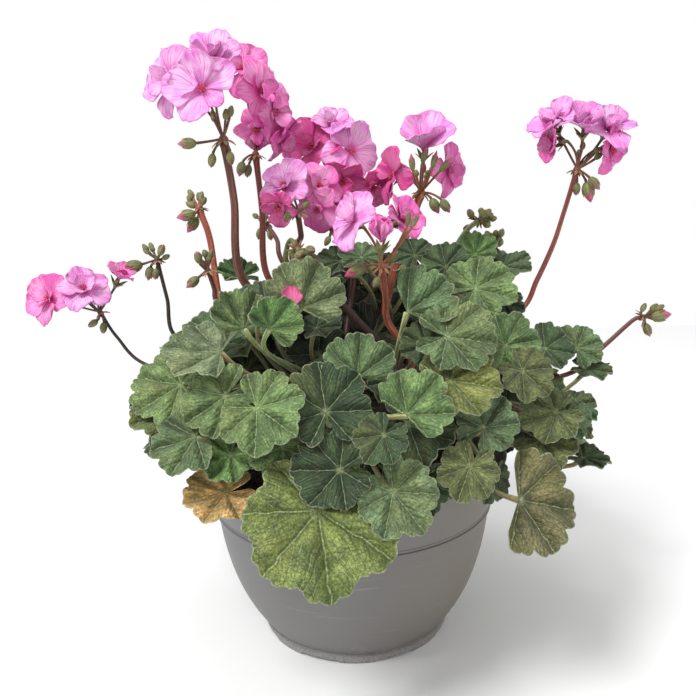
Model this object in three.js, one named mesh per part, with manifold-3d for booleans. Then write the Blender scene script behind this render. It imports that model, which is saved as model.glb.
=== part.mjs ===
// A potted zonal geranium: a grey plastic bowl pot with dark soil, leafy shoots under a dome of
// round lobed leaves, and tall red-brown flower stalks with pink florets and green buds.
// Millimetres, +Z up. The origin is the middle of the pot's foot, on the surface it stands on.
import * as THREE from 'three';
import { mergeVertices } from 'three/addons/utils/BufferGeometryUtils.js';
import Module from 'manifold-3d';

const wasm = await Module();
wasm.setup();

// ---- Driving dimensions -------------------------------------------------------------------

const SEAT = 0.3; // clearance where one piece rests on another
const MERGED_WITHIN = 0.06; // corners closer than this to a face or an edge are merged into it

const POT = {
  rim: 115, height: 136.5, lip: 2.6, wall: 2.4,
  bandFoot: { radius: 102, z: 96.5 }, ridge: 1.6,
  belly: { radius: 96.8, z: 39.3 }, base: { radius: 70, z: 7.4 },
  foot: { outer: 71.7, inner: 66.5 }, pads: 8, notchHeight: 2, padShare: 0.47,
  drain: { radius: 4.5, ring: 42, count: 4, sides: 8 }, bowlSteps: 4, segments: 24,
};
const SOIL = { edge: 117, crown: 124, rings: 3, lump: 1.4, holeDepth: 26 };
const STEM = {
  radius: 4.2, hole: 7.6, sides: 5, steps: 4, count: 7,
  footRing: 34, topRing: 62, top: 205, middleTop: 232,
};
const PETIOLE = { radius: 1.4, sides: 3, steps: 2 };
const BLADE = {
  thickness: 0.9, smallSize: 26, largeSize: 36, lobe: THREE.MathUtils.degToRad(49),
  shoulder: THREE.MathUtils.degToRad(10), sinus: 13, smallest: 18, largest: 78,
};
const STALK = { sides: 4, steps: 3 };
const PEDICEL = { radius: 0.9, sides: 3, straight: 16 }; // a shorter one is straight
const CALYX = { length: 8, mouth: 2.6 };
const KNOB = { radius: 1.35, height: 5, sides: 5 }; // an umbel's hub: its radius is a share of the stalk's
const PETAL = { thickness: 0.8, scrap: 50 }; // a bloom's piece smaller than the scrap, in mm3, is dropped
const BUD = { width: 0.58, shortest: 7, tip: 0.2 }; // the width is a share of the length
const DOME = {
  middle: new THREE.Vector3(8, 0, 150),
  radii: new THREE.Vector3(168, 150, 142),
  farRadius: 176, // behind the pot's axis, in place of the second radius
};
const BACK_LEAVES = {
  count: 52, size: [31, 40], rise: [-0.02, 0.97], layer: [0.82, 0.96],
  turnedAway: -0.1, topRise: 0.6, topLayer: 0.84, topFrom: -40,
};
const SETTLING = { passes: 70, gap: 2.2, stride: 6, turn: 0.02 };
const ROUTES = { gap: 3, spread: 0.14 };
const TROUBLE = { pierced: 40, own: 9, brushed: 2, touched: 60, rim: 30 }; // how bad a route's faults are

// ---- The photograph's viewpoint, which the seen leaves and flowers are placed from -----------

const VIEW = {
  eye: new THREE.Vector3(0, -569, 350.4), target: new THREE.Vector3(-0.9, 0, 213.3),
  roll: -0.027, focal: 800, middle: 348,
};
const forward = VIEW.target.clone().sub(VIEW.eye).normalize();
const level = forward.clone().cross(new THREE.Vector3(0, 0, 1)).normalize();
const picture = {
  right: level.clone().applyAxisAngle(forward, -VIEW.roll),
};
picture.up = picture.right.clone().cross(forward);

// Seen leaves: pixels of the petiole's end (hub) and of the middle lobe's end (tip), the angles in
// degrees by which the face leans to the right and up from the viewer, and the lift in front of the dome.
const SEEN_LEAVES = [
  { hub: [318, 511], tip: [332, 604], lean: [4, 8], lift: 16 },
  { hub: [257, 408], tip: [296, 436], lean: [-20, 25], lift: 16 },
  { hub: [226, 396], tip: [188, 424], lean: [-25, 20], lift: 6 },
  { hub: [181, 385], tip: [136, 378], lean: [-30, 35], lift: 0 },
  { hub: [221, 352], tip: [165, 350], lean: [-10, 58], lift: 4 },
  { hub: [215, 342], tip: [190, 319], lean: [-20, 40], lift: -14 },
  { hub: [244, 328], tip: [228, 303], lean: [0, 35], lift: 8 },
  { hub: [270, 329], tip: [288, 304], lean: [10, 10], lift: 14 },
  { hub: [265, 299], tip: [262, 280], lean: [0, 50], lift: -4 },
  { hub: [301, 308], tip: [317, 267], lean: [10, 20], lift: 2 },
  { hub: [243, 276], tip: [221, 275], lean: [0, 60], lift: -16 },
  { hub: [164, 402], tip: [129, 408], lean: [-10, 62], lift: -6 },
  { hub: [172, 412], tip: [132, 427], lean: [-15, 40], lift: -4 },
  { hub: [196, 437], tip: [151, 452], lean: [-25, 34], lift: 8, sinus: 50 },
  { hub: [198, 444], tip: [197, 469], lean: [0, 30], lift: -8 },
  { hub: [231, 455], tip: [216, 476], lean: [-10, 15], lift: 4 },
  { hub: [227, 493], tip: [182, 505], lean: [-10, 42], lift: 2 },
  { hub: [283, 447], tip: [272, 484], lean: [-5, 15], lift: 4 },
  { hub: [340, 470], tip: [291, 472], lean: [-5, 15], lift: 12 },
  { hub: [326, 412], tip: [318, 361], lean: [0, 12], lift: 8 },
  { hub: [357, 378], tip: [361, 334], lean: [0, 10], lift: 2 },
  { hub: [384, 435], tip: [368, 460], lean: [0, 15], lift: 14 },
  { hub: [407, 415], tip: [437, 379], lean: [5, 10], lift: 12 },
  { hub: [408, 425], tip: [455, 442], lean: [0, 25], lift: -10 },
  { hub: [393, 492], tip: [424, 532], lean: [5, 10], lift: 12 },
  { hub: [470, 466], tip: [458, 501], lean: [0, 8], lift: 14 },
  { hub: [483, 428], tip: [502, 397], lean: [15, 10], lift: 6 },
  { hub: [458, 396], tip: [474, 432], lean: [5, 20], lift: -12 },
  { hub: [449, 381], tip: [503, 385], lean: [5, 40], lift: 4 },
  { hub: [447, 337], tip: [496, 343], lean: [10, 30], lift: 8 },
  { hub: [428, 346], tip: [408, 338], lean: [0, 30], lift: -4 },
  { hub: [407, 312], tip: [425, 276], lean: [5, 35], lift: 0 },
  { hub: [446, 267], tip: [440, 243], lean: [-10, 30], lift: -8 },
  { hub: [475, 255], tip: [482, 238], lean: [0, 45], lift: -18 },
  { hub: [475, 289], tip: [511, 270], lean: [5, 35], lift: 0 },
  { hub: [503, 303], tip: [490, 322], lean: [0, 30], lift: -4 },
  { hub: [503, 267], tip: [529, 259], lean: [0, 60], lift: -16 },
  { hub: [505, 346], tip: [540, 340], lean: [20, 15], lift: 6 },
  { hub: [522, 371], tip: [548, 394], lean: [25, 15], lift: 8 },
  { hub: [545, 349], tip: [566, 334], lean: [20, 35], lift: -10 },
  { hub: [577, 349], tip: [585, 325], lean: [10, 30], lift: -8 },
  { hub: [587, 369], tip: [612, 374], lean: [20, 60], lift: -8 },
  { hub: [568, 407], tip: [597, 418], lean: [10, 55], lift: -6 },
  { hub: [556, 412], tip: [520, 424], lean: [5, 35], lift: 4 },
  { hub: [566, 414], tip: [582, 438], lean: [20, 25], lift: -2 },
  { hub: [540, 440], tip: [579, 451], lean: [10, 40], lift: -10 },
  { hub: [519, 500], tip: [574, 510], lean: [28, 5], lift: 10, sinus: 72 },
  { hub: [583, 458], tip: [606, 462], lean: [20, 60], lift: -12 },
  { hub: [362, 258], tip: [352, 245], lean: [0, 55], lift: -20 },
  { hub: [341, 262], tip: [328, 258], lean: [-10, 50], lift: -26 },
  { hub: [415, 256], tip: [409, 240], lean: [0, 45], lift: -24 },
  { hub: [372, 290], tip: [343, 285], lean: [0, 40], lift: -125 },
  { hub: [385, 306], tip: [366, 284], lean: [-5, 25], lift: -135 },
  { hub: [318, 354], tip: [322, 322], lean: [0, 30], lift: -75 },
  { hub: [372, 337], tip: [350, 305], lean: [0, 30], lift: -105 },
  { hub: [246, 370], tip: [250, 340], lean: [-5, 30], lift: -80 },
];

// Flower stalks: pixels of the umbel's hub and of places that its stalk passes, and the hub's depth
// behind the pot's axis. Florets: centre, lean of the face, petal length. Buds: root and tip.
const UMBELS = [
  {
    name: 'a', thick: 2.6, hub: [224, 143], depth: -45, via: [[234, 200], [243, 280]],
    florets: [
      { at: [203, 90], lean: [-12, 15], petal: 27 },
      { at: [171, 82], lean: [-50, 10], petal: 25 },
      { at: [213, 61], lean: [5, 48], petal: 22 },
    ],
    buds: [
      { root: [197, 143], tip: [177, 144] }, { root: [213, 153], tip: [211, 168] },
      { root: [230, 151], tip: [231, 166] },
    ],
  },
  {
    name: 'b', thick: 2.2, hub: [256, 158], depth: 10, via: [[262, 210], [268, 277]],
    florets: [
      { at: [243, 70], lean: [-5, 30], petal: 23 },
      { at: [260, 92], lean: [35, 20], petal: 24 },
      { at: [272, 113], lean: [55, 5], petal: 22 },
      { at: [281, 138], lean: [60, -25], petal: 20 },
    ],
    buds: [{ root: [243, 161], tip: [239, 177] }, { root: [249, 164], tip: [247, 178] }],
  },
  {
    name: 'c', thick: 2.0, hub: [298, 215], depth: -30, via: [[301, 235], [304, 262]],
    florets: [{ at: [286, 187], lean: [-30, 30], petal: 21 }],
    buds: [{ root: [290, 208], tip: [285, 224] }, { root: [303, 209], tip: [309, 200] }],
  },
  {
    name: 'd', thick: 2.0, hub: [335, 197], depth: 35, via: [[342, 225], [350, 255]],
    florets: [
      { at: [313, 147], lean: [-30, 25], petal: 25 },
      { at: [350, 152], lean: [35, 12], petal: 26 },
      { at: [343, 179], lean: [10, -35], petal: 19, ahead: 20 },
    ],
    buds: [{ root: [330, 200], tip: [322, 208] }, { root: [338, 202], tip: [341, 212] }],
  },
  {
    name: 'q', thick: 1.8, hub: [334, 232], depth: -10, via: [[345, 246], [355, 262]],
    florets: [{ at: [320, 208], lean: [-30, -20], petal: 20, ahead: 15 }],
    buds: [{ root: [338, 227], tip: [345, 219] }, { root: [330, 236], tip: [325, 246] }],
  },
  {
    name: 'e', thick: 2.2, hub: [382, 269], depth: -75, via: [[386, 300], [388, 322], [412, 365]],
    florets: [
      { at: [357, 221], lean: [-15, 32], petal: 26 },
      { at: [399, 218], lean: [40, 15], petal: 21 },
      { at: [378, 243], lean: [15, -25], petal: 17, ahead: 12 },
    ],
    buds: [
      { root: [366, 266], tip: [344, 277] }, { root: [379, 277], tip: [373, 288] },
      { root: [389, 263], tip: [398, 251] },
    ],
  },
  {
    name: 'f', thick: 2.9, hub: [420, 196], depth: 10, via: [[409, 228], [394, 270], [381, 343]],
    florets: [
      { at: [422, 142], lean: [5, 60], petal: 27 },
      { at: [447, 170], lean: [60, -5], petal: 22 },
      { at: [394, 176], lean: [-55, 0], petal: 23 },
    ],
    buds: [
      { root: [431, 198], tip: [439, 214] }, { root: [441, 199], tip: [450, 213] },
      { root: [417, 206], tip: [414, 222] }, { root: [409, 202], tip: [402, 214] },
    ],
  },
  {
    name: 'g', thick: 2.0, hub: [477, 222], depth: 50, via: [[468, 229], [457, 246], [451, 270]],
    florets: [],
    buds: [
      { root: [473, 218], tip: [468, 209] }, { root: [480, 218], tip: [486, 210] },
      { root: [483, 224], tip: [491, 226] }, { root: [471, 226], tip: [463, 230] },
    ],
  },
  {
    name: 'h', thick: 1.6, hub: [494, 250], depth: 60, via: [[492, 262], [488, 280]],
    florets: [],
    buds: [
      { root: [490, 247], tip: [484, 240] }, { root: [497, 246], tip: [502, 238] },
      { root: [499, 252], tip: [507, 255] },
    ],
  },
  {
    name: 'i', thick: 2.2, hub: [576, 173], depth: 0, via: [[563, 215], [553, 245], [537, 280], [520, 311]],
    florets: [
      { at: [553, 125], lean: [-35, 32], petal: 22 },
      { at: [583, 127], lean: [5, 45], petal: 21 },
      { at: [609, 129], lean: [40, 30], petal: 22 },
      { at: [609, 150], lean: [60, -10], petal: 19 },
      { at: [556, 142], lean: [-60, 0], petal: 17 },
    ],
    buds: [
      { root: [586, 181], tip: [591, 203] }, { root: [589, 177], tip: [600, 190] },
      { root: [577, 182], tip: [576, 196] },
    ],
  },
  {
    name: 'j', thick: 1.6, hub: [641, 318], depth: -8, via: [[632, 321], [597, 352], [565, 375]],
    florets: [],
    buds: [
      { root: [650, 317], tip: [672, 314] }, { root: [645, 323], tip: [650, 337] },
      { root: [641, 312], tip: [646, 303] },
    ],
  },
  {
    name: 'k', thick: 1.7, hub: [102, 315], depth: 12, via: [[117, 337], [145, 364]],
    florets: [
      { at: [51, 299], lean: [-45, 12], petal: 22 },
      { at: [84, 291], lean: [-5, 38], petal: 22 },
      { at: [119, 279], lean: [35, 50], petal: 15 },
    ],
    buds: [{ root: [98, 320], tip: [88, 327] }, { root: [104, 322], tip: [103, 334] }],
  },
  {
    name: 'l', thick: 1.7, hub: [158, 263], depth: 15, via: [[167, 298], [178, 338]],
    florets: [],
    buds: [
      { root: [159, 256], tip: [164, 244] }, { root: [143, 264], tip: [121, 270] },
      { root: [151, 266], tip: [148, 281] }, { root: [157, 268], tip: [155, 280] },
      { root: [162, 259], tip: [170, 255] },
    ],
  },
  {
    name: 'm', thick: 2.5, hub: [200, 211], depth: 35, via: [[210, 240], [220, 301], [235, 332], [251, 369]],
    florets: [],
    buds: [
      { root: [197, 207], tip: [185, 202] }, { root: [196, 213], tip: [176, 218] },
      { root: [198, 217], tip: [187, 233] }, { root: [202, 205], tip: [206, 197] },
    ],
  },
  {
    name: 'n', thick: 1.7, hub: [209, 273], depth: -5, via: [[214, 288], [221, 308]],
    florets: [],
    buds: [
      { root: [200, 264], tip: [196, 251] }, { root: [199, 277], tip: [186, 288] },
      { root: [204, 268], tip: [203, 260] },
    ],
  },
  {
    name: 'o', thick: 1.8, hub: [267, 225], depth: 70, via: [[277, 240], [284, 264]],
    florets: [],
    buds: [
      { root: [262, 227], tip: [258, 240] }, { root: [270, 228], tip: [271, 241] },
      { root: [266, 220], tip: [262, 212] },
    ],
  },
  {
    name: 'p', thick: 1.6, hub: [296, 247], depth: -42, via: [[291, 240], [287, 248], [288, 264]],
    florets: [],
    buds: [
      { root: [295, 248], tip: [292, 263] }, { root: [300, 249], tip: [307, 260] },
      { root: [298, 251], tip: [300, 265] },
    ],
  },
];

// ---- Helpers ------------------------------------------------------------------------------

function seededDraw(seed) {
  let state = seed;
  return function draw(low, high) {
    state = (state * 1664525 + 1013904223) % 4294967296;
    return low + (high - low) * (state / 4294967296);
  };
}

const radians = THREE.MathUtils.degToRad;

// A closed geometry as a solid, turned the right way out.
function solidOf(geometry) {
  const bare = geometry.clone();
  bare.deleteAttribute('normal');
  bare.deleteAttribute('uv');
  const merged = mergeVertices(bare, 1e-4);
  const triVerts = new Uint32Array(merged.index.array);
  const vertProperties = new Float32Array(merged.attributes.position.array);
  const solid = new wasm.Manifold(new wasm.Mesh({ numProp: 3, vertProperties, triVerts }));
  if (solid.volume() > 0) return solid;
  for (let k = 0; k < triVerts.length; k += 3) triVerts.subarray(k, k + 2).reverse();
  return new wasm.Manifold(new wasm.Mesh({ numProp: 3, vertProperties, triVerts }));
}

function largestPiece(solid) {
  return solid.decompose().sort((a, b) => b.volume() - a.volume())[0];
}

// A solid as a named mesh: its scraps are dropped, and corners that shape nothing are merged.
function meshOf(name, solid, material) {
  const body = largestPiece(solid.asOriginal().simplify(MERGED_WITHIN));
  const { vertProperties, triVerts } = body.getMesh();
  const geometry = new THREE.BufferGeometry();
  geometry.setAttribute('position', new THREE.BufferAttribute(new Float32Array(vertProperties), 3));
  geometry.setIndex(new THREE.BufferAttribute(new Uint32Array(triVerts), 1));
  geometry.computeVertexNormals();
  const mesh = new THREE.Mesh(geometry, material);
  mesh.name = name;
  return mesh;
}

// Stations evenly along a curve, each with its place, its direction and its own radius.
function stationsAlong(curve, radii) {
  return radii.map((radius, k) => {
    const share = k / (radii.length - 1);
    return { place: curve.getPoint(share), along: curve.getTangent(share), radius };
  });
}

// A ring of corners round each station, square to its direction and not twisted from the one before.
function ringsAt(stations, sides, firstAcross) {
  const across = firstAcross.clone();
  return stations.map(({ place, along, radius }) => {
    across.addScaledVector(along, -across.dot(along)).normalize();
    const beside = along.clone().cross(across);
    return Array.from({ length: sides }, (_, corner) => {
      const angle = (2 * Math.PI * corner) / sides;
      return place.clone()
        .addScaledVector(across, radius * Math.cos(angle))
        .addScaledVector(beside, radius * Math.sin(angle));
    });
  });
}

// The faces between neighbouring rings of equal count, whose corners start at the given index.
function wallFaces(start, sides, rings) {
  const faces = [];
  for (let ring = 0; ring < rings - 1; ring += 1) {
    for (let k = 0; k < sides; k += 1) {
      const [a, b] = [start + ring * sides + k, start + ring * sides + ((k + 1) % sides)];
      faces.push(a, b, a + sides, a + sides, b, b + sides);
    }
  }
  return faces;
}

function closedMesh(points, faces) {
  const geometry = new THREE.BufferGeometry();
  const places = points.flatMap((point) => point.toArray());
  geometry.setAttribute('position', new THREE.Float32BufferAttribute(places, 3));
  geometry.setIndex(faces);
  return solidOf(geometry);
}

// A stem through stations of different radius, closed at both ends.
function stemSolid(stations, sides) {
  const rings = ringsAt(stations, sides, new THREE.Vector3(0.3, 1, 0.1));
  const faces = wallFaces(0, sides, rings.length);
  const last = (rings.length - 1) * sides;
  for (let k = 1; k < sides - 1; k += 1) faces.push(0, k + 1, k, last, last + k, last + k + 1);
  return closedMesh(rings.flat(), faces);
}

// Places along the straight steps that a stem's solid takes between its stations.
function alongSteps(curve, steps, parts) {
  const ends = curve.getPoints(steps);
  const places = [ends[0]];
  for (let k = 0; k < steps; k += 1) {
    for (let part = 1; part <= parts; part += 1) {
      places.push(ends[k].clone().lerp(ends[k + 1], part / parts));
    }
  }
  return places;
}

function evenStem(curve, radius, sides, steps) {
  return stemSolid(stationsAlong(curve, new Array(steps + 1).fill(radius)), sides);
}

// A thin plate whose faces are split alike: a fan from its middle to its edge, then the edge's wall.
function plate(middle, edge, normal, thickness) {
  const half = normal.clone().multiplyScalar(thickness / 2);
  const count = edge.length;
  const faceOf = (side) => [...edge, middle].map((point) => point.clone().addScaledVector(half, side));
  const under = count + 1;
  const faces = [];
  for (let k = 0; k < count; k += 1) {
    const next = (k + 1) % count;
    faces.push(count, k, next, under + count, under + next, under + k);
    faces.push(k, under + k, next, next, under + k, under + next);
  }
  return closedMesh([...faceOf(1), ...faceOf(-1)], faces);
}

// Turns a lathe's axis from +Y to the given direction and moves its foot to the given place.
function stand(geometry, foot, direction) {
  const turn = new THREE.Quaternion().setFromUnitVectors(new THREE.Vector3(0, 1, 0), direction);
  return solidOf(geometry.applyQuaternion(turn).translate(foot.x, foot.y, foot.z));
}

// ---- From the photograph's pixels to places ---------------------------------------------------

function sightLine([x, y]) {
  return forward.clone()
    .addScaledVector(picture.right, (x - VIEW.middle) / VIEW.focal)
    .addScaledVector(picture.up, (VIEW.middle - y) / VIEW.focal)
    .normalize();
}

function atDepth(pixel, depth) {
  const sight = sightLine(pixel);
  return VIEW.eye.clone().addScaledVector(sight, (depth - VIEW.eye.y) / sight.y);
}

// The near side of the leaf dome on a sight line, or the place nearest to the dome where it misses.
function onDome(pixel, lift) {
  const sight = sightLine(pixel);
  const start = VIEW.eye.clone().sub(DOME.middle).divide(DOME.radii);
  const step = sight.clone().divide(DOME.radii);
  const a = step.dot(step);
  const b = start.dot(step);
  const c = start.dot(start) - 1;
  const root = Math.sqrt(Math.max(0, b * b - a * c));
  return VIEW.eye.clone().addScaledVector(sight, (-b - root) / a - lift);
}

function facing(pixel, [leanRight, leanUp]) {
  const toViewer = sightLine(pixel).negate();
  const across = picture.up.clone().cross(toViewer).normalize();
  const upward = toViewer.clone().cross(across);
  return toViewer.multiplyScalar(Math.cos(radians(leanRight)) * Math.cos(radians(leanUp)))
    .addScaledVector(across, Math.sin(radians(leanRight)) * Math.cos(radians(leanUp)))
    .addScaledVector(upward, Math.sin(radians(leanUp)));
}

// Where a sight line meets the plane through a place.
function onPlane(pixel, place, normal) {
  const sight = sightLine(pixel);
  const reach = place.clone().sub(VIEW.eye).dot(normal) / sight.dot(normal);
  return VIEW.eye.clone().addScaledVector(sight, reach);
}

// ---- Pot and soil ---------------------------------------------------------------------------

function bowlCurve(inset, steps) {
  const curve = new THREE.QuadraticBezierCurve(
    new THREE.Vector2(POT.base.radius - inset, POT.base.z + inset),
    new THREE.Vector2(POT.belly.radius - inset, POT.belly.z),
    new THREE.Vector2(POT.bandFoot.radius - inset, POT.bandFoot.z),
  );
  return curve.getPoints(steps);
}

function makePot() {
  const { rim, height, lip, wall, bandFoot, ridge, base, foot, drain } = POT;
  const at = (radius, z) => new THREE.Vector2(radius, z);
  const profile = [
    at(0, base.z - 1), at(foot.inner - 2, base.z - 1),
    at(foot.inner, 0), at(base.radius, 0), at(foot.outer, base.z - 0.6),
    ...bowlCurve(0, POT.bowlSteps),
    at(bandFoot.radius + ridge, bandFoot.z + 0.5), at(bandFoot.radius + ridge, bandFoot.z + 2.2),
    at(bandFoot.radius + ridge / 2, bandFoot.z + 3),
    at(rim, height - 0.6), at(rim - 0.6, height), at(rim - lip, height),
    ...bowlCurve(wall, POT.bowlSteps).reverse(),
    at(0, base.z + wall),
  ];
  let pot = solidOf(new THREE.LatheGeometry(profile, POT.segments).rotateX(Math.PI / 2));
  for (let k = 0; k < POT.pads; k += 1) {
    const width = (2 * Math.PI * foot.outer * (1 - POT.padShare)) / POT.pads;
    const notch = new THREE.BoxGeometry(16, width, 2 * POT.notchHeight).translate(foot.outer - 3, 0, 0);
    pot = pot.subtract(solidOf(notch.rotateZ((2 * Math.PI * (k + 0.5)) / POT.pads)));
  }
  for (let k = 0; k < drain.count; k += 1) {
    const angle = (2 * Math.PI * (k + 0.5)) / drain.count;
    const hole = new THREE.CylinderGeometry(drain.radius, drain.radius, 20, drain.sides);
    hole.rotateX(Math.PI / 2).translate(drain.ring * Math.cos(angle), drain.ring * Math.sin(angle), base.z);
    pot = pot.subtract(solidOf(hole));
  }
  return pot;
}

// The pot's inner radius at a height, between the bowl's foot and the rim.
function innerRadius(z) {
  const share = (z - POT.bandFoot.z) / (POT.height - POT.bandFoot.z);
  return THREE.MathUtils.lerp(POT.bandFoot.radius - POT.wall, POT.rim - POT.lip, share);
}

function makeSoil(stems) {
  const inset = POT.wall + SEAT;
  const edge = innerRadius(SOIL.edge) - SEAT;
  const at = (radius, z) => new THREE.Vector2(radius, z);
  const profile = [at(0, POT.base.z + inset), ...bowlCurve(inset, POT.bowlSteps), at(edge, SOIL.edge)];
  for (let k = SOIL.rings - 1; k > 0; k -= 1) {
    const share = k / SOIL.rings;
    profile.push(at(edge * share, THREE.MathUtils.lerp(SOIL.crown, SOIL.edge, share * share)));
  }
  profile.push(at(0, SOIL.crown));
  const geometry = new THREE.LatheGeometry(profile, POT.segments).rotateX(Math.PI / 2);
  const places = geometry.attributes.position;
  for (let k = 0; k < places.count; k += 1) {
    const [x, y, z] = [places.getX(k), places.getY(k), places.getZ(k)];
    const inside = z > SOIL.edge + 0.01;
    if (inside) places.setZ(k, z + SOIL.lump * Math.sin(x / 7 + 1) * Math.cos(y / 6));
  }
  let soil = solidOf(geometry);
  for (const stem of stems) {
    const foot = stem.curve.getPoint(0);
    const hole = new THREE.CylinderGeometry(STEM.hole, STEM.hole, 60, 6).rotateX(Math.PI / 2);
    hole.translate(foot.x, foot.y, foot.z - SEAT + 30);
    soil = soil.subtract(solidOf(hole));
  }
  return soil;
}

// ---- Leaves -----------------------------------------------------------------------------------

// A zonal leaf's outline, as a share of its size: round, with seven lobes and a narrow sinus behind.
function leafRim(angle) {
  return (0.84 + 0.16 * Math.cos(angle)) * (0.935 + 0.065 * Math.cos((2 * Math.PI * angle) / BLADE.lobe));
}

// How far the blade rises from its plane at an angle from the middle lobe, as shares of its size.
function bladeRise(leaf, angle, out) {
  return leaf.cup * out * out
    + leaf.fold * out * Math.abs(Math.sin(angle))
    + leaf.wave * out * out * Math.cos(3 * angle + leaf.phase)
    - 0.035 * out * Math.cos((2 * Math.PI * angle) / BLADE.lobe);
}

// A place on the blade, by its angle and its share of the way out to the edge.
function bladePlace(leaf, angle, share) {
  const out = share * leafRim(angle);
  return leaf.hub.clone()
    .addScaledVector(leaf.midrib, leaf.size * out * Math.cos(angle))
    .addScaledVector(leaf.side, leaf.size * out * Math.sin(angle))
    .addScaledVector(leaf.normal, leaf.size * bladeRise(leaf, angle, out));
}

function squareUp(leaf) {
  leaf.normal.normalize();
  leaf.midrib.addScaledVector(leaf.normal, -leaf.midrib.dot(leaf.normal)).normalize();
  leaf.side = leaf.normal.clone().cross(leaf.midrib);
}

function shapeLeaf(leaf, draw) {
  leaf.cup = draw(-0.02, 0.14);
  leaf.fold = draw(-0.05, 0.12);
  leaf.wave = draw(0.02, 0.06);
  leaf.phase = draw(0, 2 * Math.PI);
  leaf.sinus = leaf.sinus ?? BLADE.sinus;
  squareUp(leaf);
  return leaf;
}

function seenLeaf(row, draw) {
  const hub = onDome(row.hub, row.lift);
  const normal = facing(row.hub, row.lean);
  const midrib = onPlane(row.tip, hub, normal).sub(hub);
  const size = THREE.MathUtils.clamp(midrib.length(), BLADE.smallest, BLADE.largest);
  const push = sightLine(row.hub).negate();
  const seenFrom = hub.distanceTo(VIEW.eye);
  return shapeLeaf({ hub, normal, midrib, size, sinus: row.sinus, lift: row.lift, push, seenFrom }, draw);
}

// Leaves of the far side, spread evenly over the dome by the golden angle.
function backLeaf(index, draw) {
  const turn = index * Math.PI * (3 - Math.sqrt(5));
  const rise = THREE.MathUtils.lerp(...BACK_LEAVES.rise, (index + 0.5) / BACK_LEAVES.count);
  const ring = Math.sqrt(1 - rise * rise);
  const outward = new THREE.Vector3(ring * Math.cos(turn), ring * Math.sin(turn), rise);
  const radii = DOME.radii.clone();
  if (outward.y > 0) radii.y = DOME.farRadius;
  const layer = draw(...BACK_LEAVES.layer) * (rise > BACK_LEAVES.topRise ? BACK_LEAVES.topLayer : 1);
  const hub = outward.clone().multiply(radii).multiplyScalar(layer).add(DOME.middle);
  const normal = outward.clone().divide(radii).normalize().multiplyScalar(0.75);
  normal.z += 0.5;
  normal.x += draw(-0.25, 0.25);
  normal.y += draw(-0.25, 0.25);
  const midrib = new THREE.Vector3(outward.x + draw(-0.7, 0.7), outward.y + draw(-0.7, 0.7), -0.7);
  const size = draw(...BACK_LEAVES.size);
  return shapeLeaf({ hub, normal, midrib, size, lift: 0, push: null }, draw);
}

// Whether a leaf is on the far side of the dome, or low enough on its top to be hidden.
function isUnseen(leaf) {
  const toViewer = VIEW.eye.clone().sub(leaf.hub).normalize();
  const outward = leaf.hub.clone().sub(DOME.middle).normalize();
  const onTop = outward.z > BACK_LEAVES.topRise && leaf.hub.y > BACK_LEAVES.topFrom;
  return onTop || outward.dot(toViewer) < BACK_LEAVES.turnedAway;
}

const SPOTS = [{ angle: 0, share: 0 }];
for (let k = 0; k < 14; k += 1) {
  const angle = (Math.PI * (k - 6.5)) / 7.5;
  SPOTS.push({ angle, share: 1 }, { angle, share: 0.55 });
}

function placeSpots(leaf) {
  leaf.spots = SPOTS.map(({ angle, share }) => bladePlace(leaf, angle, share));
}

// How far one blade's spots lie above another blade, where they are over it.
function heightsOver(upper, lower) {
  const range = { low: Infinity, high: -Infinity };
  for (const spot of upper.spots) {
    const arm = spot.clone().sub(lower.hub);
    const [along, across] = [arm.dot(lower.midrib), arm.dot(lower.side)];
    const angle = Math.atan2(across, along);
    const out = Math.hypot(along, across) / lower.size;
    if (out > leafRim(angle) + 0.06 || Math.abs(angle) > Math.PI - radians(lower.sinus - 8)) continue;
    const height = arm.dot(lower.normal) - lower.size * bladeRise(lower, angle, out);
    range.low = Math.min(range.low, height);
    range.high = Math.max(range.high, height);
  }
  return range;
}

function easeApart(a, b) {
  if (a.hub.distanceTo(b.hub) > 1.15 * (a.size + b.size)) return;
  const mean = a.normal.clone().add(b.normal).normalize();
  const side = a.hub.clone().sub(b.hub).dot(mean) + 0.6 * (a.lift - b.lift) > 0 ? 1 : -1;
  const aOver = heightsOver(a, b);
  const bOver = heightsOver(b, a);
  const shortA = SETTLING.gap - (side > 0 ? aOver.low : -aOver.high);
  const shortB = SETTLING.gap - (side > 0 ? -bOver.high : bOver.low);
  const short = Math.min(SETTLING.stride, Math.max(shortA, shortB));
  if (!(short > 0)) return;
  for (const [leaf, way] of [[a, side], [b, -side]]) {
    const axis = leaf.push && leaf.push.dot(mean) > 0.4 ? leaf.push : mean;
    leaf.hub.addScaledVector(axis, 0.3 * way * short);
    leaf.normal.lerp(mean, SETTLING.turn);
    squareUp(leaf);
    placeSpots(leaf);
  }
}

function keepOffPot(leaf) {
  for (const place of leaf.spots) {
    const sunk = POT.height + 4 - place.z;
    const inside = POT.rim + 4 - Math.hypot(place.x, place.y);
    if (sunk <= 0 || inside <= 0) continue;
    if (inside < sunk) leaf.hub.add(new THREE.Vector3(place.x, place.y, 0).setLength(0.4 * inside));
    else leaf.hub.z += 0.4 * sunk;
  }
  placeSpots(leaf);
}

function settle(leaves) {
  leaves.forEach(placeSpots);
  for (let pass = 0; pass < SETTLING.passes; pass += 1) {
    for (let i = 0; i < leaves.length; i += 1) {
      for (let j = i + 1; j < leaves.length; j += 1) easeApart(leaves[i], leaves[j]);
    }
    leaves.forEach(keepOffPot);
  }
}

// A seen leaf that has moved toward the viewer is made smaller, and one that has moved back larger.
function keepSeenSize(leaf) {
  if (leaf.seenFrom) leaf.size *= leaf.hub.distanceTo(VIEW.eye) / leaf.seenFrom;
}

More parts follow.
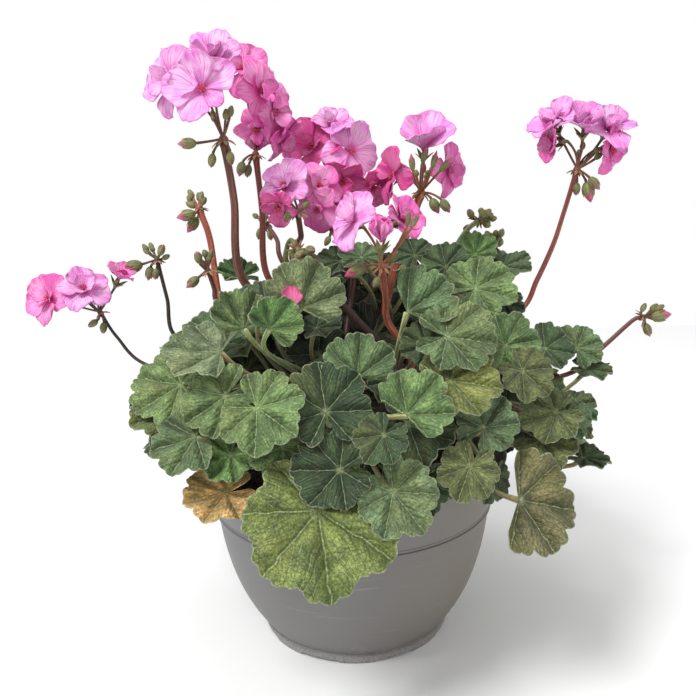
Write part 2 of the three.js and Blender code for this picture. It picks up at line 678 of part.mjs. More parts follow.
// The blade's edge: every lobe and the notch beside it, and behind them the sinus, open to near the hub.
function bladeEdge(leaf) {
  const end = Math.PI - radians(leaf.sinus);
  const plain = leaf.size < BLADE.smallSize || !leaf.seenFrom;
  const angles = [-end];
  for (let k = -6; k <= 6; k += 1) {
    const [angle, lobeMiddle] = [(k * BLADE.lobe) / 2, k % 2 === 0];
    if (Math.abs(angle) > end - (plain ? 0.9 : 0.2) * BLADE.lobe) continue;
    if (lobeMiddle && leaf.size > BLADE.largeSize) {
      angles.push(angle - BLADE.shoulder, angle + BLADE.shoulder);
    } else {
      angles.push(angle);
    }
  }
  angles.push(end);
  const edge = angles.map((angle) => bladePlace(leaf, angle, 1));
  edge.push(leaf.hub.clone().addScaledVector(leaf.midrib, -0.1 * leaf.size));
  return edge;
}

// The blade and its petiole in one skin: the underside's fan ends on the petiole's corners.
function makeLeaf(leaf) {
  const half = leaf.normal.clone().multiplyScalar(BLADE.thickness / 2);
  const edge = bladeEdge(leaf).reverse();
  const count = edge.length;
  const firstAcross = leaf.side.clone().multiplyScalar(0.77).addScaledVector(leaf.midrib, -0.64);
  const stations = stationsAlong(leaf.petiole, new Array(PETIOLE.steps + 1).fill(PETIOLE.radius));
  const rings = ringsAt(stations, PETIOLE.sides, firstAcross);
  rings[0] = rings[0].map((_, corner) => {
    const outward = edge[Math.floor(((corner + 0.5) * count) / PETIOLE.sides)].clone().sub(leaf.hub);
    outward.addScaledVector(leaf.normal, -outward.dot(leaf.normal)).setLength(PETIOLE.radius);
    return leaf.hub.clone().add(outward).sub(half);
  });
  const top = [...edge, leaf.hub].map((point) => point.clone().add(half));
  const under = edge.map((point) => point.clone().sub(half));
  const [underStart, ringStart] = [count + 1, 2 * count + 1];
  const faces = wallFaces(ringStart, PETIOLE.sides, rings.length);
  const cornerBy = (k) => ringStart + Math.floor((k * PETIOLE.sides) / count);
  for (let k = 0; k < count; k += 1) {
    const next = (k + 1) % count;
    faces.push(count, next, k, underStart + k, k, underStart + next, underStart + next, k, next);
    faces.push(cornerBy(k), underStart + k, underStart + next);
    if (cornerBy(k) !== cornerBy(next)) faces.push(cornerBy(k), underStart + next, cornerBy(next));
  }
  const last = ringStart + (rings.length - 1) * PETIOLE.sides;
  faces.push(last, last + 1, last + 2);
  return closedMesh([...top, ...under, ...rings.flat()], faces);
}

// ---- Shoots -----------------------------------------------------------------------------------

function makeStems() {
  const stems = [];
  for (let k = 0; k < STEM.count; k += 1) {
    const middle = k === STEM.count - 1;
    const turn = (2 * Math.PI * (k + 0.3)) / (STEM.count - 1);
    const at = (ring, z) => new THREE.Vector3(Math.cos(turn), Math.sin(turn), 0)
      .multiplyScalar(middle ? 0 : ring)
      .setZ(z);
    const top = middle ? STEM.middleTop : STEM.top;
    const foot = SOIL.crown - SOIL.holeDepth;
    const curve = new THREE.QuadraticBezierCurve3(
      at(STEM.footRing, foot),
      at(STEM.footRing + 2, (foot + top) / 2),
      at(STEM.topRing, top),
    );
    stems.push({ name: `shoot_${k + 1}`, curve, leaves: [] });
  }
  return stems;
}

// A petiole starts behind the blade's hub and comes down to the stem from above.
function petioleCurve(stem, leaf, share, swing) {
  const root = stem.curve.getPoint(share);
  const reach = root.distanceTo(leaf.hub);
  const sideways = leaf.side.clone().multiplyScalar(swing * reach);
  const rise = new THREE.Vector3(0, 0, 0.3 * reach).add(sideways);
  const leave = root.clone().lerp(leaf.hub, 0.3).add(rise);
  const arrive = leaf.hub.clone().addScaledVector(leaf.normal, -0.32 * reach)
    .addScaledVector(leaf.midrib, -0.18 * reach)
    .addScaledVector(sideways, 0.5);
  const rimClear = POT.height + 10;
  if (Math.hypot(arrive.x, arrive.y) < POT.rim + 12 && arrive.z < rimClear) arrive.z = rimClear;
  return new THREE.CubicBezierCurve3(leaf.hub.clone(), arrive, leave, root);
}

function crossesBlade(from, to, leaf) {
  const before = from.clone().sub(leaf.hub).dot(leaf.normal);
  const after = to.clone().sub(leaf.hub).dot(leaf.normal);
  if (before * after > 0) return false;
  const arm = from.clone().lerp(to, before / (before - after)).sub(leaf.hub);
  const along = arm.dot(leaf.midrib) - 0.12 * leaf.size;
  return along * along + arm.dot(leaf.side) ** 2 < leaf.size ** 2;
}

// The trouble that a route meets: blades that it would pierce, routes that it would touch, the pot's rim.
function troubleOf(route, leaves, others) {
  const { points } = route;
  let trouble = 0;
  for (let k = 1; k < points.length; k += 1) {
    for (const leaf of leaves) {
      if (leaf === route.leaf || !crossesBlade(points[k - 1], points[k], leaf)) continue;
      trouble += leaf.home === route.home ? TROUBLE.own : TROUBLE.pierced;
    }
    const ring = Math.hypot(points[k].x, points[k].y);
    if (points[k].z < POT.height + 3 && Math.abs(ring - POT.rim) < 6) trouble += TROUBLE.rim;
    for (const other of others) {
      const kin = route.home && other.home === route.home;
      if (kin && (other.stem || k > 0.75 * points.length)) continue;
      const gap = route.radius + other.radius + (kin ? 0 : ROUTES.gap);
      const near = other.points.some((place) => place.distanceTo(points[k]) < gap);
      if (near) trouble += kin ? TROUBLE.brushed : TROUBLE.touched;
    }
  }
  return trouble;
}

// The first of the routes with the least trouble, which later routes keep clear of.
function pickRoute(candidates, leaves, routes) {
  let best = null;
  let least = Infinity;
  for (const route of candidates) {
    const others = routes.filter((other) => !route.joins(other));
    const trouble = route.effort + troubleOf(route, leaves, others);
    if (trouble < least) [best, least] = [route, trouble];
  }
  routes.push(best);
  return best.curve;
}

function growPetiole(leaf, index, leaves, routes) {
  const candidates = [];
  const lower = ROUTES.spread * ((index * 0.618) % 1);
  for (const share of [0.95, 0.8, 0.65, 0.5, 0.35]) {
    for (const swing of [0, 0.15, -0.15, 0.3, -0.3, 0.45, -0.45]) {
      const curve = petioleCurve(leaf.home, leaf, share - lower, swing);
      candidates.push({
        curve, leaf, home: leaf.home, points: alongSteps(curve, PETIOLE.steps, 9), radius: PETIOLE.radius,
        effort: Math.abs(swing) + (1 - share), joins: () => false,
      });
    }
  }
  return pickRoute(candidates, leaves, routes);
}

function nearestStem(stems, place) {
  const distance = (stem) => stem.curve.getPoint(1).distanceTo(place);
  return stems.reduce((near, stem) => (distance(stem) < distance(near) ? stem : near));
}

// ---- Flower stalks and blooms -------------------------------------------------------------------

function stalkSteps(umbel) {
  return STALK.steps + umbel.via.length;
}

// A flower stalk runs from its umbel past the places where it is seen, and down to a shoot's stem.
function growStalk(umbel, stems, leaves, routes) {
  const passed = umbel.via.map((pixel, k) => atDepth(pixel, umbel.depth * (1 - 0.12 * (k + 1))));
  const last = passed[passed.length - 1];
  const candidates = [];
  for (const stem of stems) {
    for (const share of [0.95, 0.87, 0.79, 0.71, 0.63, 0.55, 0.47]) {
      const root = stem.curve.getPoint(share);
      for (const lean of [0.45, 0.2, 0.7]) {
        const bend = root.clone().lerp(last, lean);
        bend.z = Math.min(bend.z, last.z - 10);
        const places = [umbel.place, ...passed, bend, root];
        const curve = new THREE.CatmullRomCurve3(places, false, 'catmullrom', 0.5);
        candidates.push({
          curve, stem, points: alongSteps(curve, stalkSteps(umbel), 9), radius: umbel.thick,
          effort: 0.4 * root.distanceTo(last), joins: (other) => other.curve === stem.curve,
        });
      }
    }
  }
  return pickRoute(candidates, leaves, routes);
}

// A floret's five petals in one plate: each has a narrow root, a broad blade and a shallow tip.
// The upper two petals stand closer together than the lower three.
const PETALS = [
  { turn: 59, spread: 30, reach: 0.97 }, { turn: 121, spread: 30, reach: 0.97 },
  { turn: 193, spread: 38, reach: 0.95 }, { turn: 270, spread: 38, reach: 1 },
  { turn: 347, spread: 38, reach: 0.95 },
];
const PETAL_EDGE = [
  { out: 0.87, aside: -0.78, rise: 0.15 }, { out: 1, aside: 0, rise: 0.08 },
  { out: 0.87, aside: 0.78, rise: 0.15 }, { out: 0.4, aside: 1, rise: 0.05 },
];

function makeFloret(floret) {
  const edge = PETALS.flatMap(({ turn, spread, reach }) => PETAL_EDGE.map(({ out, aside, rise }) => {
    const angle = radians(turn + floret.turn + aside * spread);
    return floret.centre.clone()
      .addScaledVector(floret.across, floret.petal * reach * out * Math.cos(angle))
      .addScaledVector(floret.upward, floret.petal * reach * out * Math.sin(angle))
      .addScaledVector(floret.face, floret.petal * rise);
  }));
  return plate(floret.centre, edge, floret.face, PETAL.thickness);
}

// A pedicel from the knob to a floret's calyx or a bud, which the further stations make.
function makeBranch(start, end, arriving, further, grow) {
  const reach = start.distanceTo(end);
  const bend = start.clone().lerp(end, 0.6).addScaledVector(arriving, -0.3 * reach);
  const pedicel = new THREE.QuadraticBezierCurve3(start, bend, end);
  const steps = reach < PEDICEL.straight ? 1 : 2;
  const stations = stationsAlong(pedicel, new Array(steps + 1).fill(PEDICEL.radius));
  for (const { out, radius } of further) {
    stations.push({ place: end.clone().addScaledVector(arriving, out), along: arriving, radius });
  }
  const grown = stations.map((station) => ({ ...station, radius: station.radius + grow }));
  return stemSolid(grown, PEDICEL.sides);
}

function budStations(length) {
  const width = (BUD.width * Math.max(length, BUD.shortest)) / 2;
  return [{ out: 0.5 * length, radius: width }, { out: length, radius: BUD.tip }];
}

// The hub's knob, and the pedicels with their calyxes and buds. A grown copy is what others keep off.
function makeHead(umbel, florets, buds, grow) {
  const radius = KNOB.radius * umbel.thick;
  const profile = [[0, 0], [radius, 0.2 * KNOB.height], [radius, 0.7 * KNOB.height], [0, KNOB.height]];
  const knob = new THREE.LatheGeometry(profile.map((point) => new THREE.Vector2(...point)), KNOB.sides);
  const foot = umbel.place.clone().addScaledVector(umbel.rise, SEAT);
  const parts = grow === 0 ? [stand(knob, foot, umbel.rise)] : [];
  const middle = umbel.place.clone().addScaledVector(umbel.rise, SEAT + KNOB.height / 2);
  const startToward = (end) => middle.clone().add(end.clone().sub(middle).setLength(0.4 * radius));
  for (const { mouth, face } of florets) {
    const neck = mouth.clone().addScaledVector(face, -CALYX.length);
    const calyx = [{ out: CALYX.length, radius: CALYX.mouth }];
    parts.push(makeBranch(startToward(neck), neck, face, calyx, grow));
  }
  for (const { root, tip } of buds) {
    const along = tip.clone().sub(root);
    const length = along.length();
    parts.push(makeBranch(startToward(root), root, along.normalize(), budStations(length), grow));
  }
  return wasm.Manifold.union(parts);
}

function placeFloret(umbel, row, draw) {
  const centre = atDepth(row.at, umbel.depth + draw(-9, 9) - (row.ahead ?? 0));
  const face = facing(row.at, row.lean).normalize();
  const across = picture.up.clone().cross(face).normalize();
  const upward = face.clone().cross(across);
  const mouth = centre.clone().addScaledVector(face, -PETAL.thickness / 2 - SEAT);
  return { centre, face, across, upward, mouth, petal: row.petal, turn: draw(-14, 14) };
}

function placeBud(umbel, row, draw) {
  const depth = umbel.depth + draw(-7, 7);
  return { root: atDepth(row.root, depth), tip: atDepth(row.tip, depth + draw(-2, 2)) };
}

function makeUmbel(umbel, curve, draw) {
  umbel.rise = curve.getTangent(0).negate();
  const florets = umbel.florets.map((row) => placeFloret(umbel, row, draw));
  const buds = umbel.buds.map((row) => placeBud(umbel, row, draw));
  const head = makeHead(umbel, florets, buds, 0);
  const clearance = makeHead(umbel, florets, buds, SEAT);
  const steps = stalkSteps(umbel);
  const stalk = evenStem(curve, umbel.thick, STALK.sides, steps).subtract(clearance);
  const blooms = wasm.Manifold.union(florets.map(makeFloret)).subtract(clearance).decompose()
    .filter((bloom) => bloom.volume() > PETAL.scrap);
  const sleeve = evenStem(curve, umbel.thick + SEAT, STALK.sides, steps);
  return { stalk, head, blooms, keepOff: [clearance, sleeve] };
}

// ---- The plant --------------------------------------------------------------------------------

const materials = {
  pot: new THREE.MeshStandardMaterial({ color: 0x7c7a7b, roughness: 0.55, metalness: 0 }),
  soil: new THREE.MeshStandardMaterial({ color: 0x2a2420, roughness: 1, metalness: 0 }),
  leaf: new THREE.MeshStandardMaterial({ color: 0x76916a, roughness: 0.7, metalness: 0 }),
  stalk: new THREE.MeshStandardMaterial({ color: 0x8a5a48, roughness: 0.6, metalness: 0 }),
  bud: new THREE.MeshStandardMaterial({ color: 0x8f9a5c, roughness: 0.6, metalness: 0 }),
  petal: new THREE.MeshStandardMaterial({ color: 0xe08cc8, roughness: 0.6, metalness: 0 }),
};

const draw = seededDraw(20417);
const leaves = SEEN_LEAVES.map((row) => seenLeaf(row, draw));
for (let k = 0; k < BACK_LEAVES.count; k += 1) {
  const leaf = backLeaf(k, draw);
  if (isUnseen(leaf)) leaves.push(leaf);
}
settle(leaves);
leaves.forEach(keepSeenSize);

const stems = makeStems();
leaves.forEach((leaf) => { leaf.home = nearestStem(stems, leaf.hub); });
const routes = stems.map((stem) => ({
  home: stem, stem, curve: stem.curve, points: alongSteps(stem.curve, STEM.steps, 6), radius: STEM.radius,
}));

const group = new THREE.Group();
group.add(meshOf('pot', makePot(), materials.pot));
group.add(meshOf('soil', makeSoil(stems), materials.soil));
const keepOff = [];
const sockets = stems.map((stem) => evenStem(stem.curve, STEM.radius + SEAT, STEM.sides, STEM.steps));
for (const umbel of UMBELS) {
  umbel.place = atDepth(umbel.hub, umbel.depth);
  const made = makeUmbel(umbel, growStalk(umbel, stems, leaves, routes), draw);
  const seated = made.stalk.subtract(wasm.Manifold.union(sockets));
  group.add(meshOf(`stalk_${umbel.name}`, seated, materials.stalk));
  group.add(meshOf(`head_${umbel.name}`, made.head, materials.bud));
  made.blooms.forEach((bloom, k) => {
    group.add(meshOf(`bloom_${umbel.name}_${k + 1}`, bloom, materials.petal));
  });
  keepOff.push(...made.keepOff);
}
leaves.forEach((leaf, index) => { leaf.petiole = growPetiole(leaf, index, leaves, routes); });
for (const stem of stems) {
  const parts = [evenStem(stem.curve, STEM.radius, STEM.sides, STEM.steps)];
  for (const leaf of leaves.filter((item) => item.home === stem)) {
    parts.push(makeLeaf(leaf));
  }
  const shoot = keepOff.reduce((solid, other) => solid.subtract(other), wasm.Manifold.union(parts));
  group.add(meshOf(stem.name, shoot, materials.leaf));
}

export default group;
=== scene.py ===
"""A potted zonal geranium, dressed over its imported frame.

The leaves, stems and flowers stand where the frame's nodes do, because the same rules place them.
The rules work in millimetres with +Z up, and every mesh is made in metres.
"""

import math
from functools import lru_cache, reduce

import bmesh
import bpy
import numpy as np
from mathutils import Matrix, Vector, noise


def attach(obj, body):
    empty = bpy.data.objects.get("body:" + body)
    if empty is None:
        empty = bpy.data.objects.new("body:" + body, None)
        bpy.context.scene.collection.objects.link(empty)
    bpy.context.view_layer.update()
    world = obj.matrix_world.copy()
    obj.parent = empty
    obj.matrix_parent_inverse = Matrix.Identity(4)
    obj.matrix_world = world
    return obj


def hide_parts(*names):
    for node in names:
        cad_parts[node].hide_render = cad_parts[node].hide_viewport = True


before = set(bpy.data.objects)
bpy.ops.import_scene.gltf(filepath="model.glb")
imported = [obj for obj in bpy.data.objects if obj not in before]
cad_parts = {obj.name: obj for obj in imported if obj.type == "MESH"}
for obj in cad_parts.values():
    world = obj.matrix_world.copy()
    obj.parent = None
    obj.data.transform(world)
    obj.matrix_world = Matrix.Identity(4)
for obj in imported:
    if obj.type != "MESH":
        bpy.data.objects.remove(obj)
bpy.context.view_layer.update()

bl_info = {
    "name": "Potted Geranium",
    "version": (1, 0, 0),
    "blender": (4, 5, 0),
    "location": "3D View > Sidebar > Geranium",
    "description": "Makes a potted geranium with its leaves, flowers, pot and soil",
    "category": "Add Mesh",
}

MM = 0.001


# ---- Sizes that place the plant, in millimetres ---------------------

RIM_RADIUS, RIM_HEIGHT = 115.0, 136.5
POT_FLOOR, POT_WALL = 7.4, 2.4
SOIL_CROWN, SOIL_RIM, SOIL_EDGE, SOIL_HOLE_DEPTH, CRUMB_REACH = 124.0, 117.0, 106.6, 26.0, 101
STEM_COUNT, STEM_RADIUS, STEM_STEPS = 7, 4.2, 4
STEM_FOOT_RING, STEM_TOP_RING, STEM_TOP, MIDDLE_STEM_TOP = 34.0, 62.0, 205.0, 232.0
PETIOLE_RADIUS, PETIOLE_STEPS = 1.4, 2
LOBE = math.radians(49)
SINUS, SMALLEST_LEAF, LARGEST_LEAF, FOUR_TOOTHED_LEAF = 13.0, 18.0, 78.0, 42.0
STALK_STEPS = 3
CALYX_LENGTH, LARGE_PETAL, INNER_PETALS = 8.0, 25.5, 3
SEAT = 0.3
DOME_MIDDLE = np.array((8.0, 0.0, 150.0))
DOME_RADII = np.array((168.0, 150.0, 142.0))
DOME_FAR_RADIUS = 176.0
BACK_LEAF_COUNT = 52

# How near leaves come to the pot, inner leaves to its rim, and petioles to its rim beside it and above.
POT_CLEAR, INNER_RIM_CLEAR, PETIOLE_CLEAR_BESIDE, PETIOLE_CLEAR_ABOVE = 4, 10, 12, 10

# How the leaves settle: rounds, the gap between two blades, the most that a leaf moves in a round, the shares
# of that and of the turn that it takes, and what a difference in lift counts.
SETTLING_PASSES, SETTLING_GAP, SETTLING_STRIDE = 70, 2.2, 6.0
SETTLING_SHARE, SETTLING_TURN, LIFT_WEIGHT = 0.3, 0.02, 0.6

# What counts as over a blade: a share past its edge, and degrees into its notch.
PAST_EDGE, INTO_NOTCH = 0.06, 8

# How routes are picked: the gap kept, how far their roots are spread, what counts as at the rim, the share
# of a route that may brush its own shoot, and the cost of each kind of trouble.
ROUTE_GAP, ROUTE_SPREAD, RIM_CLEAR_BESIDE, RIM_CLEAR_ABOVE, ROOT_SHARE = 3.0, 0.14, 6, 3, 0.75
PIERCED, PIERCED_OWN, BRUSHED, TOUCHED, AT_RIM = 40, 9, 2, 60, 30

# The leaves that are only in the scene: how many are tried, the gap to other blades and to stems and stalks,
# the share that the photograph's leaves must hide, where gaps are looked for, in pixels, and how much of the
# dome and of its leaves is thick enough to hide what is behind.
INNER_TRIES, SIDE_TRIES, GAP_TRIES = 640, 900, 40
INNER_GAP, INNER_CLEAR, FILLING_CLEAR, COVERED_SHARE = 2.5, 4.5, 3.0, 0.85
GAP_ACROSS, GAP_DOWN, GAP_STEP, THICK_DOME, THICK_LEAF = (170, 610), (262, 520), 5, 0.72, 0.96

# The seeds of the random draws.
PLANT_SEED, INNER_SEED, SIDE_SEED, GAP_SEED, FLORET_SEED = 20417, 6011, 2203, 4409, 77
SHOOT_SEED, CRUMB_SEED, HEAD_SEED, BLOOM_SEED, FALLEN_SEED = 915, 3301, 2207, 5521, 808

# Thicknesses in metres, and how deep a petiole's end sits behind its blade in millimetres.
SEPAL_THICKNESS, BUD_SKIN, PETIOLE_SEAT = 0.00035, 0.0003, 1.2

# How finely things are divided: sides round a tube, stations along it, and columns and rows of a sheet.
STEM_SIDES, STEM_STATIONS, STALK_STATIONS = 14, 30, 10
PETIOLE_SIDES, PETIOLE_STATIONS, PEDICEL_STATIONS = 8, 15, 12
KNOB_SIDES, CALYX_SIDES, BUD_SIDES, BUD_STATIONS = 12, 10, 12, 13
BLADE_COLUMNS_PER_TOOTH = 42
SEPAL_GRID, BUD_SEPAL_GRID, PETAL_GRID = (6, 8), (6, 9), (14, 12)
POT_STEPS, SOIL_STEPS, SOIL_RINGS = 144, 120, 22

# Places in a piece's list of materials: for leaves and petals, and for heads.
FACE, BACK, STEM, STAMEN = 0, 1, 2, 2
PEDICEL, SEPAL, ROLLED = 0, 1, 2


# ---- The photograph's viewpoint -------------------------------------

EYE = np.array((0.0, -569.0, 350.4))
TARGET = np.array((-0.9, 0.0, 213.3))
ROLL = -0.027
FOCAL, PICTURE_MIDDLE, SENSOR_WIDTH = 800.0, 348.0, 36
EYE_IN_DOME = (EYE - DOME_MIDDLE) / DOME_RADII


def srgb(red, green, blue):
    """A colour of the photograph, 0 to 255, as the linear light that materials work in."""
    shares = (value / 255 for value in (red, green, blue))
    return np.array([s / 12.92 if s <= 0.04045 else ((s + 0.055) / 1.055) ** 2.4 for s in shares])


# The "shade" colour is painted shade: a near-black green that stands in for the shadow deep inside the plant.
LEAF_LOOKS = {
    "sage": (103, 128, 88), "light": (118, 146, 92), "fresh": (112, 150, 88), "deep": (67, 94, 56),
    "dark": (52, 76, 46), "shade": (34, 48, 34), "olive": (114, 124, 76), "gold": (120, 136, 70),
    "straw": (234, 186, 122), "ochre": (138, 142, 78), "drab": (112, 110, 74), "moss": (64, 106, 42),
    "grey": (126, 140, 106),
}

# Seen leaves: pixels of the petiole's end (hub) and of the middle lobe's end (tip), the angles in degrees
# by which the face leans to the right and up, the lift in front of the dome and the colour. Where the notch
# between the outer lobes is wider than SINUS, half its angle in degrees comes last.
SEEN_LEAVES = [
    ((318, 511), (332, 604), (4, 8), 16, "gold"),
    ((257, 408), (296, 436), (-20, 25), 16, "light"),
    ((226, 396), (188, 424), (-25, 20), 6, "light"),
    ((181, 385), (136, 378), (-30, 35), 0, "light"),
    ((221, 352), (165, 350), (-10, 58), 4, "grey"),
    ((215, 342), (190, 319), (-20, 40), -14, "deep"),
    ((244, 328), (228, 303), (0, 35), 8, "light"),
    ((270, 329), (288, 304), (10, 10), 14, "fresh"),
    ((265, 299), (262, 280), (0, 50), -4, "sage"),
    ((301, 308), (317, 267), (10, 20), 2, "grey"),
    ((243, 276), (221, 275), (0, 60), -16, "moss"),
    ((164, 402), (129, 408), (-10, 62), -6, "deep"),
    ((172, 412), (132, 427), (-15, 40), -4, "olive"),
    ((196, 437), (151, 452), (-25, 34), 8, "sage", 50),
    ((198, 444), (197, 469), (0, 30), -8, "moss"),
    ((231, 455), (216, 476), (-10, 15), 4, "fresh"),
    ((227, 493), (182, 505), (-10, 42), 2, "straw"),
    ((283, 447), (272, 484), (-5, 15), 4, "light"),
    ((340, 470), (291, 472), (-5, 15), 12, "dark"),
    ((326, 412), (318, 361), (0, 12), 8, "dark"),
    ((357, 378), (361, 334), (0, 10), 2, "sage"),
    ((384, 435), (368, 460), (0, 15), 14, "deep"),
    ((407, 415), (437, 379), (5, 10), 12, "light"),
    ((408, 425), (455, 442), (0, 25), -10, "dark"),
    ((393, 492), (424, 532), (5, 10), 12, "sage"),
    ((470, 466), (458, 501), (0, 8), 14, "olive"),
    ((483, 428), (502, 397), (15, 10), 6, "sage"),
    ((458, 396), (474, 432), (5, 20), -12, "deep"),
    ((449, 381), (503, 385), (5, 40), 4, "ochre"),
    ((447, 337), (496, 343), (10, 30), 8, "sage"),
    ((428, 346), (408, 338), (0, 30), -4, "deep"),
    ((407, 312), (425, 276), (5, 35), 0, "sage"),
    ((446, 267), (440, 243), (-10, 30), -8, "deep"),
    ((475, 255), (482, 238), (0, 45), -18, "fresh"),
    ((475, 289), (511, 270), (5, 35), 0, "light"),
    ((503, 303), (490, 322), (0, 30), -4, "dark"),
    ((503, 267), (529, 259), (0, 60), -16, "deep"),
    ((505, 346), (540, 340), (20, 15), 6, "light"),
    ((522, 371), (548, 394), (25, 15), 8, "olive"),
    ((545, 349), (566, 334), (20, 35), -10, "deep"),
    ((577, 349), (585, 325), (10, 30), -8, "sage"),
    ((587, 369), (612, 374), (20, 60), -8, "deep"),
    ((568, 407), (597, 418), (10, 55), -6, "deep"),
    ((556, 412), (520, 424), (5, 35), 4, "olive"),
    ((566, 414), (582, 438), (20, 25), -2, "sage"),
    ((540, 440), (579, 451), (10, 40), -10, "olive"),
    ((519, 500), (574, 510), (28, 5), 10, "drab", 72),
    ((583, 458), (606, 462), (20, 60), -12, "deep"),
    ((362, 258), (352, 245), (0, 55), -20, "sage"),
    ((341, 262), (328, 258), (-10, 50), -26, "deep"),
    ((415, 256), (409, 240), (0, 45), -24, "deep"),
    # These five leaves sit back in the pit and take the "shade" colour, which is painted shade.
    ((372, 290), (343, 285), (0, 40), -125, "shade"),
    ((385, 306), (366, 284), (-5, 25), -135, "shade"),
    ((318, 354), (322, 322), (0, 30), -75, "shade"),
    ((372, 337), (350, 305), (0, 30), -105, "shade"),
    ((246, 370), (250, 340), (-5, 30), -80, "shade"),
]

# Leaves that the photograph shows folded or cupped, by number: half the angle in degrees of the notch that
# they are opened to, the turn in degrees about the hub, and the youth, which deepens the cup and the pleats.
FUNNELS = {
    4: (70, 0, 0), 6: (85, 0, 2), 7: (60, 0, 2), 9: (80, 0, 1), 20: (88, 0, 1), 22: (80, 0, 1),
    31: (105, -30, 1),
}

STALK_LOOKS = {
    "terracotta": (178, 100, 74), "russet": (140, 74, 60), "brown": (112, 66, 52), "black": (52, 40, 34),
    "green": (112, 124, 74), "pale": (134, 150, 96),
}
PETAL_LOOKS = {"lilac": (238, 146, 220), "pink": (238, 104, 188), "rose": (228, 74, 158)}

# How far a petal of each colour pales between its throat and its end, and a fallen petal too: partly its own
# paler tone, partly painted highlight.
PALENESS = {"lilac": 1.25, "pink": 0.7, "rose": 0.4}
FALLEN_PALENESS = 0.3

